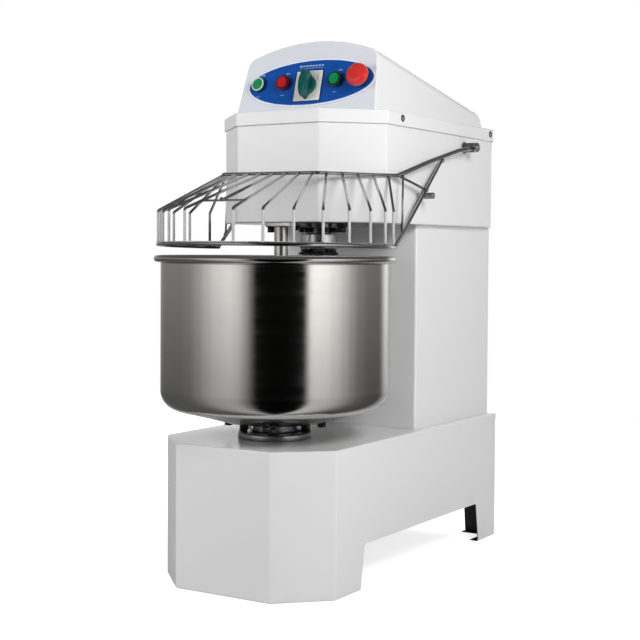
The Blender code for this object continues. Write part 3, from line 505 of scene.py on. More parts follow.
def hexagon(shape, across_flats, low, high, at=(0, 0, 0), axis=None, bore=0.0):
    """A hexagonal head or nut with chamfered ends, standing along Z."""
    turn, corner, tall = standing(at, axis), across_flats / sqrt(3), high - low
    chamfer = min(0.0008, tall * 0.25)
    sizes = [(corner * 0.93, low), (corner, low + chamfer), (corner, high - chamfer), (corner * 0.93, high)]
    if bore:
        sizes += [(bore, high), (bore, high - tall * 0.6)]
    rings = [[turn @ around(size, tau * i / 6, height) for i in range(6)] for size, height in sizes]
    capped(shape, rings)


def ring_spots(radius, count, start):
    """Angles and points of a bolt circle; start is in degrees."""
    turns = [radians(start) + tau * i / count for i in range(count)]
    return [(turn, around(radius, turn)) for turn in turns]


def ring_of_bolts(shape, circle, across, low, high, bore=0.0):
    for turn, spot in ring_spots(*circle):
        hexagon(shape, across, low, high, spot, Matrix.Rotation(turn, 4, "Z"), bore)


def rounded_plan(points, radii, steps=6):
    """An anticlockwise plan with each corner rounded to its own radius."""
    made = []
    for i, (corner, radius) in enumerate(zip(points, radii)):
        p, q, r = Vector(points[i - 1]), Vector(corner), Vector(points[(i + 1) % len(points)])
        if radius == 0:
            made.append(tuple(q))
            continue
        back, on = (p - q).normalized(), (r - q).normalized()
        half = back.angle(on) / 2
        reach = radius / tan(half)
        centre = q + (back + on).normalized() * radius / sin(half)
        start, end = q + back * reach - centre, q + on * reach - centre
        swing = start.angle_signed(end)
        made += [tuple(centre + Matrix.Rotation(-swing * k / steps, 2) @ start) for k in range(steps + 1)]
    return made


def rectangle(left, bottom, right, top, radius, steps=5):
    return rounded_plan([(left, bottom), (right, bottom), (right, top), (left, top)], [radius] * 4, steps)


def inset(outline, distance):
    """A plan moved inwards by a distance."""
    points = [Vector(p) for p in outline]
    made = []
    for i, point in enumerate(points):
        before = (point - points[i - 1]).normalized()
        after = (points[(i + 1) % len(points)] - point).normalized()
        inward = Vector((-before.y, before.x)) + Vector((-after.y, after.x))
        made.append(point + inward * distance / inward.dot(Vector((-before.y, before.x))))
    return [tuple(p) for p in made]


def level(outline, height):
    return [(x, y, height) for x, y in outline]


def octagon(half_width, front, corner, rear):
    """The plan of a housing with two cut front corners; corner gives their size across and back."""
    across, back = corner
    right = [(half_width - across, front), (half_width, front + back), (half_width, rear)]
    (near, side, far) = [(-x, y) for x, y in right]
    return [side, near, *right, far]


def edge_loops(plan, height, radius, steps=5):
    """Loops that round the edge between a flat top at a height and the walls below; plan takes an inset."""
    turns = quarter_turn(steps)
    return [level(plan(radius * (1 - sin(turn))), height - radius * (1 - cos(turn))) for turn in turns]


def box_mesh(low, high):
    shape = bmesh.new()
    bmesh.ops.create_cube(shape, size=1)
    size, centre = Vector(high) - Vector(low), (Vector(high) + Vector(low)) / 2
    for vert in shape.verts:
        vert.co = vert.co * size + centre
    return finished(shape, outward=False)


def prism(outline, low, high, axis="Z"):
    """A straight body over an outline, standing along an axis."""

    def spot(a, b, c):
        return {"X": (c, a, b), "Y": (a, c, b), "Z": (a, b, c)}[axis]

    return solid([[spot(a, b, c) for a, b in outline] for c in (low, high)])


def worked(mesh, thickness=0.0, joined=(), cutters=()):
    """A mesh after it is given a sheet thickness, joined with others and cut by others."""
    used = [add_object("cutter", mesh)]
    if thickness:
        wall = used[0].modifiers.new("wall", "SOLIDIFY")
        wall.thickness = thickness
        wall.offset = -1
        wall.use_even_offset = True
    for operation, others in (("UNION", joined), ("DIFFERENCE", cutters)):
        for other in others:
            used.append(add_object("cutter", other))
            step = used[0].modifiers.new("step", "BOOLEAN")
            step.operation = operation
            step.solver = "EXACT"
            step.object = used[-1]
    made = evaluated_mesh(used[0])
    for obj in used:
        bpy.data.objects.remove(obj)
    made.materials.clear()
    return made


def evaluated_mesh(obj):
    return bpy.data.meshes.new_from_object(obj.evaluated_get(bpy.context.evaluated_depsgraph_get()))


def open_shell(shape, inside):
    """The mesh of an open shell, with its faces turned away from a point inside it."""
    bmesh.ops.recalc_face_normals(shape, faces=shape.faces)
    faces = shape.faces
    lean = sum(face.normal.dot(face.calc_center_median() - inside) * face.calc_area() for face in faces)
    if lean < 0:
        bmesh.ops.reverse_faces(shape, faces=faces)
    return finished(shape, outward=False)


# ---------------- housings


def make_base():
    half, front, rear, top = BASE_HIGH.x, BASE_LOW.y, BASE_HIGH.y, BASE_HIGH.z
    corners = octagon(half, front, BASE_CORNER, rear)

    def plan(pull):
        return rounded_plan(inset(corners, pull), [max(SHEET_BEND - pull, 0.0006)] * 6)

    loops = edge_loops(plan, top, SHEET_EDGE)
    for turn in quarter_turn(4):
        loops.append(level(plan(SHEET_EDGE * (1 - cos(turn))), SHEET_EDGE * (1 - sin(turn))))
    loops.append(level(plan(BASE_FLANGE), 0))
    shape = bmesh.new()
    loft(shape, loops, first=True)
    shell = open_shell(shape, Vector((0, 0.2, 0.1)))

    def arch(low_left, low_right, left, right):
        ends = [(low_left, below), (low_right, below), (right, ARCH_TOP), (left, ARCH_TOP)]
        return rounded_plan(ends, [0, 0, ARCH_CORNER, ARCH_CORNER])

    arch_front, arch_rear, below, lean, hub_hole = 0.014, 0.452, -0.01, 0.0126, 0.0455
    slope = lean / ARCH_TOP
    side = arch(arch_front - slope * (ARCH_TOP - below), arch_rear + slope * (ARCH_TOP - below), arch_front, arch_rear)
    cutters = [
        prism(side, -0.3, 0.3, "X"),
        prism(arch(-0.11, 0.11, -0.105, 0.105), rear - 0.1, rear + 0.1, "Y"),
        turned_mesh([(0, top + 0.05), (hub_hole, top + 0.05), (hub_hole, top - 0.05), (0, top - 0.05)], 48),
    ]
    mesh = worked(shell, SHEET, cutters=cutters)
    heart = Vector((0, 0.2, 0))

    # Faces inside the base walls, under its top plate and on the foot flanges take the near-black: painted shade for
    # the inside of the housing.
    def painted_shade_face(face):
        spot, normal = face.center, face.normal
        inward = (heart - spot).xy.dot(normal.xy) > 0.02
        beneath = normal.z < -0.9 and spot.z > ARCH_TOP + 0.01
        tread = normal.z > 0.9 and spot.z < 0.01
        arch_rim = spot.z < ARCH_TOP + 0.001 and face.area < SHEET * 0.02 and abs(normal.z) < 0.2
        return (inward and not arch_rim) or beneath or tread

    paint(mesh, (WHITE, BASE_INSIDE_SHADE), painted_shade_face)
    weigh_normals(place("base_shell", mesh, None, "white_body", ["base_housing"], smooth=28))


def make_column():
    half, front, rear = COLUMN_HIGH.x, COLUMN_LOW.y, COLUMN_HIGH.y
    low, high, edge = COLUMN_LOW.z, COLUMN_HIGH.z, half - COLUMN_LIP
    walls = rounded_plan([(-half, rear), (-half, front), (half, front), (half, rear)], [SHEET_BEND] * 4)
    path = [(-half + COLUMN_LIP, rear)] + walls + [(edge, rear)]
    shape = bmesh.new()
    loft(shape, [level(path, z) for z in (low, (low + high) / 2, high)], closed=False)
    mesh = worked(open_shell(shape, Vector((0, (front + rear) / 2, (low + high) / 2))), SHEET)
    weigh_normals(place("column_shell", mesh, WHITE, "white_body", ["column_housing"], smooth=28))
    for name, bottom, crest in (("header", COVER_HIGH.z - 0.006, high), ("sill", low, COVER_LOW.z + 0.006)):
        strip = box_mesh((COLUMN_LIP - half - 0.001, rear - SHEET, bottom), (edge + 0.001, rear, crest))
        place(f"column_{name}", strip, WHITE, "white_body")


def head_plan(grow=0.0):
    half, front, rear = HEAD_HIGH.x + grow, HEAD_LOW.y - grow, HEAD_HIGH.y + grow
    across, back = HEAD_CORNER
    trim = grow * tan(radians(22.5))
    corners = octagon(half, front, (across + grow - trim, back + grow - trim), rear)
    return rounded_plan(corners, [0.006] * 4 + [HEAD_REAR_RADIUS + grow] * 2, 8)


def make_head():
    plan = head_plan()
    low, high = HEAD_LOW.z, HEAD_HIGH.z
    upright = edge_loops(lambda pull: inset(plan, pull), low, SHEET_EDGE)
    loops = [[(x, y, 2 * low - z) for x, y, z in loop] for loop in upright] + [level(plan, high)]
    shape = bmesh.new()
    shape.faces.new(loft(shape, loops)[0])
    mesh = worked(open_shell(shape, Vector((0, (HEAD_LOW.y + HEAD_HIGH.y) / 2, (low + high) / 2))), SHEET)
    weigh_normals(place("head_shell", mesh, WHITE, "white_body", ["head_housing"], smooth=28))


def hood_section(y, shrink=0.0, squash=1.0):
    """Points (x, z) over the hood at y, from the left foot to the right foot, with rounded brows."""
    edge = HOOD_EDGE - HOOD_FALL * max(0.0, y - HOOD_FALL_START)
    foot = HOOD_HALF_WIDTH - shrink
    brow = HOOD_HALF_WIDTH - HOOD_LEAN * (edge - LID_TOP)
    rise = (HOOD_CREST - HOOD_EDGE) * (brow / HOOD_BROW) ** 2
    brow, edge = brow - shrink, edge - shrink
    radius = (brow * brow + rise * rise) / (2 * rise)
    centre = edge + rise - radius
    spread = asin(brow / radius)
    roof = [(radius * sin(spread * i / 8), centre + radius * cos(spread * i / 8)) for i in range(-8, 9)]
    base = LID_TOP - 0.004
    wall = [(foot, base), (foot - HOOD_LEAN * 0.004, LID_TOP)]
    corner = Vector((-brow, edge))
    back = (Vector((-foot, LID_TOP)) - corner).normalized()
    on = (Vector(roof[1]) - Vector(roof[0])).normalized()
    bend = [tuple(p) for p in curve(corner + back * HOOD_CORNER, corner, corner + on * HOOD_CORNER, 8)]
    points = [(-x, z) for x, z in wall] + bend
    points += [p for p in roof if abs(p[0]) < brow - HOOD_CORNER * 1.15]
    points += [(-x, z) for x, z in bend[::-1]] + wall[::-1]
    return [(x, base + (z - base) * squash) for x, z in points]


def hood_mesh(shrink=0.0):
    """The hood as a closed body: leaning front with a rounded edge, falling roof and quarter-round tail."""
    lean, edge = tan(pi / 2 - PANEL_SLOPE), 0.003
    loops = []
    for turn in quarter_turn(6):
        pull, set_back = edge * (1 - sin(turn)), edge * (1 - cos(turn)) + shrink
        loop = []
        for x, z in hood_section(HOOD_FALL_START - 0.02, shrink):
            near_x = x * (1 - pull / HOOD_HALF_WIDTH)
            near_z = z - pull * max(0.0, (z - LID_TOP) / (HOOD_CREST - LID_TOP))
            loop.append((near_x, HOOD_FRONT + set_back + lean * (near_z - LID_TOP), near_z))
        loops.append(loop)
    for y in (HOOD_FALL_START + 0.006, 0.2, 0.3, 0.4, HOOD_REAR - HOOD_TAIL):
        loops.append([(x, y, z) for x, z in hood_section(y, shrink)])
    for i in range(1, 11):
        turn = radians(84) * i / 10
        y = HOOD_REAR - shrink - HOOD_TAIL * (1 - sin(turn))
        narrow = 1 - 0.05 * (1 - cos(turn))
        section = hood_section(HOOD_REAR - HOOD_TAIL, shrink, cos(turn) ** 0.9)
        loops.append([(x * narrow, y, z) for x, z in section])
    return solid(loops)


def lid_mesh():
    plan, low = head_plan(LID_OVERHANG), LID_LOW.z
    loops = edge_loops(lambda pull: inset(plan, pull), LID_TOP, 0.0026)
    return solid(loops + [level(plan, low + 0.0004), level(inset(plan, 0.0004), low)])


def row_of(kind):
    return SPEED_ROW if kind == "speed" else BUTTON_ROW


def switch_holes(reach, on):
    """Cutters for the holes behind the controls, on the panel's plane."""
    profile = [(0, reach), (SWITCH_HOLE, reach), (SWITCH_HOLE, -reach), (0, -reach)]
    for kind, x in CONTROL_X.items():
        yield turned_mesh(profile, 32, on @ Matrix.Translation((x, row_of(kind), 0)))


def make_top_cover():
    panel = Matrix.Translation(PANEL_ORIGIN) @ PANEL_TURN
    hollow = [prism(head_plan(LID_OVERHANG - SHEET), LID_LOW.z - 0.02, LID_TOP - SHEET), hood_mesh(0.0022)]
    mesh = worked(lid_mesh(), joined=[hood_mesh()], cutters=hollow + list(switch_holes(0.02, panel)))
    facing = panel.to_3x3() @ Vector((0, 0, 1))
    # The front panel faces take the darker copy: painted shade on the white hood.
    paint(mesh, (WHITE, PANEL_SHADE_COAT), lambda face: face.normal.dot(facing) > 0.998)
    weigh_normals(place("top_cover_shell", mesh, None, "white_body", ["top_cover"], smooth=24))


def outward_x(side):
    """The machine frame turned so that Z points out of the left or right side."""
    return Matrix.Rotation(side * pi / 2, 4, "Y")


def make_lid_screws():
    head = eased([(0, 0.0032), (0.003, 0.003), (0.005, 0.0014), (0.005, 0.0002), (0, 0.0002)], 0.0005)
    washer = eased([(0.003, 0.0005), (0.0064, 0.0005), (0.0064, 0.00005), (0.003, 0.00005)], 0.0002)
    for side, side_name in SIDES:
        axis = outward_x(side)
        for y, end in zip(LID_SCREW_Y, ("front", "rear")):
            name = f"lid_screw_{end}_{side_name}"
            spot = (side * (HEAD_HIGH.x + LID_OVERHANG), y, LID_SCREW_Z)
            cross = ((0.0028, 0.0005), (0.0005, 0.0028))
            slots = [box_mesh((-wide, -deep, 0.0018), (wide, deep, 0.006)) for wide, deep in cross]
            for slot in slots:
                slot.transform(axis)
            mesh = worked(turned_mesh(head, 32, axis), cutters=slots)
            place(name + "_head", mesh, ZINC, "fastener_steel", [name], at=spot)
            ring = turned_mesh(washer + washer[:1], 32, axis, weld=True)
            place(name + "_washer", ring, BLACK_STEEL, "fastener_steel", at=spot)


def make_rear():
    low, high = COVER_LOW, COVER_HIGH
    plan = rectangle(low.x, low.z, high.x, high.z, 0.006)
    loops = [[(x, y, z) for x, z in plan] for y in (low.y, high.y - 0.0006)]
    panel = solid(loops + [[(x, high.y, z) for x, z in inset(plan, 0.0006)]])
    slots = []
    for centre in LOUVRES:
        slot = rectangle(-LOUVRE_HALF, centre - 0.003, LOUVRE_HALF, centre + 0.003, 0.0029, 4)
        slots.append(prism(slot, low.y - 0.01, high.y + 0.01, "Y"))
    place("rear_cover_panel", worked(panel, cutters=slots), WHITE, "white_body", ["rear_cover"])

    backward = Matrix.Rotation(-pi / 2, 4, "X")
    heads = bmesh.new()
    profile = eased([(0, 0.0024), (0.003, 0.0021), (0.0046, 0.0008), (0.0046, 0), (0, 0)], 0.0004)
    for x in (low.x + 0.012, high.x - 0.012):
        for share in (0.04, 0.5, 0.96):
            turned(heads, profile, 24, (x, high.y, low.z + (high.z - low.z) * share), backward)
    place("rear_cover_screws", heads, ZINC, "fastener_steel")

    hoods = bmesh.new()
    for centre in LOUVRES:
        root = (high.y - 0.0004, centre + 0.0042 - 0.0018)
        loops = []
        for share in (i / 16 for i in range(17)):
            swell = 0.0026 * sin(pi * share) ** 0.35
            outline = arc(root, 0.0016 + swell, -60, 90, 6) + arc(root, 0.0008 + swell, 90, -60, 6)
            loops.append([(2 * LOUVRE_HALF * share - LOUVRE_HALF, y, z) for y, z in outline])
        capped(hoods, loops)
    place("rear_louvres", hoods, WHITE, "white_body")

    body = bmesh.new()
    spot = (GLAND_AT.x, GLAND_FACE, GLAND_AT.z)
    profile = [
        (0.0045, 0.0195), (0.009, 0.0195), (0.0102, 0.018), (0.0108, 0.01), (0.0108, 0.0062), (0.008, 0.0062),
        (0.008, -0.012), (0.0045, -0.012), (0.0045, 0.0195),
    ]
    turned(body, eased(profile), 40, spot, backward)
    bmesh.ops.remove_doubles(body, verts=body.verts, dist=WELD)
    hexagon(body, 0.0205, 0.0003, 0.0062, spot, backward)
    place("cable_gland_body", body, BLACK, "black_plastic", ["cable_gland"])


# ---------------- control panel


def on_panel(kind, x=0.0, y=0.0):
    return PANEL @ Matrix.Translation((CONTROL_X[kind] + x, row_of(kind) + y, 0))


def control_piece(name, kind, profile, surface, slot, replaces=(), body="frame", sides=64):
    place(name, turned_mesh(profile, sides), surface, slot, replaces, body, on=on_panel(kind))


def make_fascia():
    def ellipse(grow, height):
        tilt, loop = FASCIA_TILT, []
        for turn in (tau * i / 96 for i in range(96)):
            x, y = (FASCIA_HALF[0] + grow) * cos(turn), (FASCIA_HALF[1] + grow) * sin(turn)
            spot = (FASCIA_CENTRE[0] + x * cos(tilt) - y * sin(tilt), FASCIA_CENTRE[1] + x * sin(tilt) + y * cos(tilt))
            loop.append((*spot, height))
        return loop

    foot, top = ellipse(-FASCIA_BORDER, FASCIA_FOOT), ellipse(-FASCIA_BORDER, FASCIA_TOP)
    mesh = worked(solid([foot, top]), cutters=switch_holes(0.01, Matrix.Identity(4)))
    place("fascia_print", mesh, BLUE, "blue_fascia", ["control_fascia"], on=PANEL)
    border = bmesh.new()
    outside = [ellipse(0, FASCIA_FOOT), ellipse(0, FASCIA_TOP - 0.0003), ellipse(-0.0003, FASCIA_TOP)]
    loft(border, [foot, *outside, top, foot])
    place("fascia_border", border, PALE_BORDER, "blue_fascia", on=PANEL, weld=True)

    marks = bmesh.new()
    dashes = [(CONTROL_X[kind], BUTTON_ROW - 0.0225, 0.0075, 0.0007) for kind in ("lamp", "stop", "start")]
    dashes += [(CONTROL_X["emergency"] + 0.006, BUTTON_ROW - 0.0265, 0.0075, 0.0007)]
    for kind in ("lamp", "stop", "start"):
        dashes += [(CONTROL_X[kind] + 0.004 + step, BUTTON_ROW + 0.0185, 0.0028, 0.0018) for step in (0, 0.0042)]
    dashes += [(-0.019 + 0.0066 * i, 0.0838, 0.0046, 0.0022) for i in range(8)]
    dashes += [(0.0045, 0.0795, 0.05, 0.0005)]
    for x, y, wide, tall in dashes:
        plan = rectangle(x - wide / 2, y - tall / 2, x + wide / 2, y + tall / 2, min(tall, wide) * 0.3, 2)
        loops = [level(plan, FASCIA_TOP - 0.0001), level(plan, FASCIA_TOP + 0.00015)]
        capped(marks, loops)
    place("fascia_marks", marks, PRINT_WHITE, "blue_fascia", on=PANEL)


def bezel_profile(outer, top, inner):
    return eased([
        (inner, top - 0.006), (inner, top - 0.0006), (inner + 0.0006, top), (outer - 0.001, top),
        (outer, top - 0.0016), (outer, CONTROL_FOOT), (0.0108, CONTROL_FOOT), (0.0108, -0.012), (inner, -0.012),
        (inner, top - 0.006),
    ], 0.0005)


def make_push_buttons():
    bezel = bezel_profile(0.0142, 0.01, 0.0104)
    cap = eased([
        (0, 0.0112), (0.004, 0.0112), (0.008, 0.0116), (0.0096, 0.0115), (0.0101, 0.0108), (0.0101, 0.0076),
        (0.0067, 0.0076), (0.0067, -0.008), (0, -0.008),
    ], 0.0006)
    for kind, cap_colour, bezel_colour, bezel_slot, cap_slot in (
        ("stop", RED, DEEP_RED, "red_button", "red_button"),
        ("start", GREEN, DEEP_GREEN, "black_plastic", "green_button"),
    ):
        control_piece(f"{kind}_bezel", kind, bezel, bezel_colour, bezel_slot, [f"{kind}_switch_body"])
        control_piece(f"{kind}_button_cap", kind, cap, cap_colour, cap_slot, [f"{kind}_button"], f"{kind}_control")


def make_lamp():
    # The collar is dark green all round; it is partly a real dark collar and partly painted shade, standing in for the
    # shade at the lamp's right and bottom.
    collar = bezel_profile(0.0142, 0.0084, 0.0108)
    control_piece("lamp_collar", "lamp", collar, DEEP_GREEN, "white_plastic", ["power_lamp_body"])
    ring = eased([
        (0.0108, 0.007), (0.0108, 0.0098), (0.0124, 0.0098), (0.0128, 0.0086), (0.0128, 0.007), (0.0108, 0.007),
    ], 0.0004)
    control_piece("lamp_ring", "lamp", ring, IVORY, "white_plastic")
    lens = [(0, 0.0098), (0.004, 0.0098)]
    for i in range(3):
        lens += [(0.0046 + i * 0.0018, 0.0101), (0.0055 + i * 0.0018, 0.0097)]
    lens += [(0.0099, 0.0096), (0.0105, 0.0086), (0.0105, 0.0043), (0, 0.0043)]
    control_piece("lamp_lens", "lamp", eased(lens, 0.0004), GREEN, "green_lens", ["power_lamp_lens"])


def make_emergency_stop():
    collar = bezel_profile(0.0148, 0.0072, 0.0085)
    control_piece("emergency_collar", "emergency", collar, BLACK, "black_plastic", ["emergency_switch_body"])
    head = eased([
        (0, 0.0284), (0.006, 0.0283), (0.012, 0.0276), (0.0172, 0.0258), (0.02, 0.0232), (0.0208, 0.02),
        (0.0208, 0.0158), (0.0196, 0.0136), (0.017, 0.013), (0.0082, 0.013), (0.0082, -0.006), (0, -0.006),
    ], 0.0012, 3)
    control_piece("emergency_mushroom", "emergency", head, STOP_RED, "red_mushroom", ["emergency_stop_head"],
                  "emergency_control", 72)


def clock_way(degrees):
    """A direction on the dial, clockwise from twelve o'clock."""
    return sin(radians(degrees)), cos(radians(degrees))


def make_speed_switch():
    here = on_panel("speed")
    low, top = CONTROL_FOOT, CONTROL_FOOT + 0.002
    plan = rectangle(-0.0275, -0.0285, 0.0275, 0.0285, 0.0018, 4)
    plate = solid([level(plan, low), level(plan, top - 0.0006), level(inset(plan, 0.0006), top)])
    place("speed_plate", plate, IVORY, "white_plastic", ["speed_switch_plate"], on=here)
    # A black gasket frame round the plate; its dark rim is partly real and partly painted shade along the plate's
    # bottom and right edges.
    gasket = bmesh.new()
    wide = inset(plan, -0.001)
    loft(gasket, [level(plan, low), level(wide, low), level(wide, low + 0.0012), level(plan, low + 0.0012)])
    place("speed_plate_gasket", gasket, BLACK, "white_plastic", on=here)

    ticks = bmesh.new()
    for angle in (-60, -30, 0, 30, 60):
        way = Vector((*clock_way(angle), 0))
        across = Vector((way.y, -way.x, 0)) * 0.00045
        inner, outer = way * 0.0202, way * 0.0219
        loop = [inner - across, inner + across, outer + across, outer - across]
        loops = [[p + Vector((0, 0, z)) for p in loop] for z in (top - 0.0001, top + 0.0001)]
        capped(ticks, loops)
    place("speed_dial_ticks", ticks, PRINT_BLACK, "white_plastic", on=here)
    for number, angle in (("1", -52), ("0", 0), ("2", 52)):
        text = bpy.data.curves.new("digit", "FONT")
        text.body = number
        text.size = 0.0062
        text.align_x = text.align_y = "CENTER"
        text.extrude = 0.0001
        source = add_object("digit", text)
        mesh = evaluated_mesh(source)
        bpy.data.objects.remove(source)
        x, y = (0.0236 * part for part in clock_way(angle))
        spot = on_panel("speed", x, y + 0.0012) @ Matrix.Translation((0, 0, top + 0.00005))
        place(f"speed_dial_{number}", mesh, PRINT_BLACK, "white_plastic", on=spot)

    knob = bmesh.new()
    turned(knob, eased([
        (0, 0.0115), (0.014, 0.0115), (0.0172, 0.0104), (0.0185, 0.0086), (0.0185, top + 0.0003),
        (0.0045, top + 0.0003), (0.0045, -0.01), (0, -0.01),
    ], 0.001, 3), 72)
    length, width = 0.0272, 0.0088
    loops = []
    for height, share in (
        (0.005, 1.0), (0.013, 0.99), (0.0215, 0.95), (0.0245, 0.9), (0.0258, 0.8), (0.0262, 0.62),
    ):
        reach = length - (1 - share) * width
        ways = [(cos(tau * i / 40), sin(tau * i / 40)) for i in range(40)]
        loops.append([(width * share * c * sqrt(abs(c)), reach * s, height) for c, s in ways])
    capped(knob, loops)
    place("speed_knob", knob, TEAL, "teal_knob", ["speed_switch_knob"], "speed_control", on=here, smooth=40)


# ---------------- bowl and hub


def make_bowl():
    bead, corner, inner = RIM_RADIUS - RIM_BEAD, BOWL_RADIUS - BOWL_CORNER, BOWL_RADIUS - BOWL_SHEET
    floor, centre = BOWL_FLOOR_Z + BOWL_SHEET, (corner, BOWL_CORNER_Z)
    outside = arc((bead, RIM_Z), RIM_BEAD, 150, -130, 26)
    outside += [(BOWL_RADIUS + out, RIM_Z - fall) for out, fall in ((0.0009, 0.0056), (0.0002, 0.0066), (0, 0.0078))]
    outside += [(BOWL_RADIUS, z) for z in (RIM_Z - 0.0094, RIM_Z - 0.014, 0.52, 0.47, 0.42, 0.37, 0.338)]
    outside += arc(centre, BOWL_CORNER, 0, -BOWL_DISH, 16)
    dish = Vector(outside[-1]) - Vector((BOWL_FLOOR_RADIUS, BOWL_FLOOR_Z))

    def dished(height, shares):
        return [tuple(Vector((BOWL_FLOOR_RADIUS, height)) + dish * share) for share in shares]

    outside += dished(BOWL_FLOOR_Z, (0.6, 0.25, 0.04)) + [(BOWL_FLOOR_RADIUS - 0.003, BOWL_FLOOR_Z), (0, BOWL_FLOOR_Z)]
    inside = [(0, floor), (BOWL_FLOOR_RADIUS - 0.003, floor)] + dished(floor, (0.04, 0.25, 0.6))
    inside += arc(centre, BOWL_CORNER - BOWL_SHEET, -BOWL_DISH, 0, 16)
    inside += [(inner, z) for z in (0.37, 0.42, 0.47, 0.52, RIM_Z - 0.004)] + [outside[0]]
    shape = bmesh.new()
    for profile in (outside, inside):
        turned(shape, profile, 192)
    weigh_normals(place("steel_bowl", shape, BOWL_STEEL, "stainless_bowl", ["bowl"], "bowl_drive", weld=True))


def make_hub():
    top = BOWL_FLOOR_Z - 0.0003
    hub = eased([
        (0, top), (0.046, top), (0.046, top - 0.0035), (0.039, top - 0.005), (0.039, 0.26), (0.0199, 0.26),
        (0.0199, 0.108), (0, 0.108),
    ], 0.001, 3)
    place("bowl_hub_casting", turned_mesh(hub, 96), CAST, "cast_iron", ["bowl_hub"], "bowl_drive")
    nuts = bmesh.new()
    ring_of_bolts(nuts, (0.083, 4, 24), 0.0125, BOWL_FLOOR_Z - 0.009, top)
    place("bowl_hub_nuts", nuts, BLACK_STEEL, "dark_steel", body="bowl_drive")

    low = BASE_HIGH.z + 0.0003
    flange = eased([
        (0.0215, 0.259), (0.06, 0.259), (0.0644, 0.2575), (0.0644, low), (0.044, low), (0.044, 0.15),
        (0.032, 0.15), (0.032, 0.21), (0.0215, 0.21), (0.0215, 0.259),
    ], 0.0008)
    place("bowl_flange", turned_mesh(flange, 128, weld=True), CAST, "cast_iron", ["bowl_bearing_housing"])
    seal = eased([(0.0215, 0.2598), (0.044, 0.2598), (0.047, 0.2591), (0.0215, 0.2591), (0.0215, 0.2598)])
    place("bowl_flange_seal", turned_mesh(seal, 96, weld=True), RUBBER, "black_plastic")
    bolts = bmesh.new()
    circle = (0.054, 4, 30)
    ring_of_bolts(bolts, circle, 0.014, 0.2602, 0.2692, 0.0042)
    for _, spot in ring_spots(*circle):
        turned(bolts, [(0, 0.2602), (0.009, 0.2602), (0.0094, 0.2598), (0.0094, 0.259), (0, 0.259)], 32, spot)
    place("bowl_flange_bolts", bolts, BLACK_STEEL, "dark_steel")
    nipple = bmesh.new()
    spot = around(0.049, radians(-118))
    turned(nipple, eased([
        (0, 0.272), (0.0018, 0.2718), (0.0026, 0.27), (0.0018, 0.2684), (0.0024, 0.2672), (0.003, 0.265),
        (0.003, 0.2588), (0, 0.2588),
    ], 0.0004), 24, spot)
    hexagon(nipple, 0.008, 0.259, 0.2645, spot)
    place("grease_nipple", nipple, ZINC, "fastener_steel")


# ---------------- hook and breaker


def hook_path(turns=1.15, steps=150):
    """The bar's centre line about the hook's axis: out from the hub, then a falling spiral that closes in."""
    start, foot = 0.548, 0.318
    points = [Vector((0, 0, start + 0.012)), Vector((0, 0, start + 0.006))]
    for share in (i / steps for i in range(1, steps + 1)):
        ease_in, ease_out = min(1.0, share / 0.28), max(0.0, (share - 0.8) / 0.2)
        radius = 0.066 * sin(ease_in * pi / 2) - 0.024 * ease_out * ease_out
        points.append(around(radius, tau * turns * share + radians(150), start + (foot - start) * share ** 1.15))
    return points


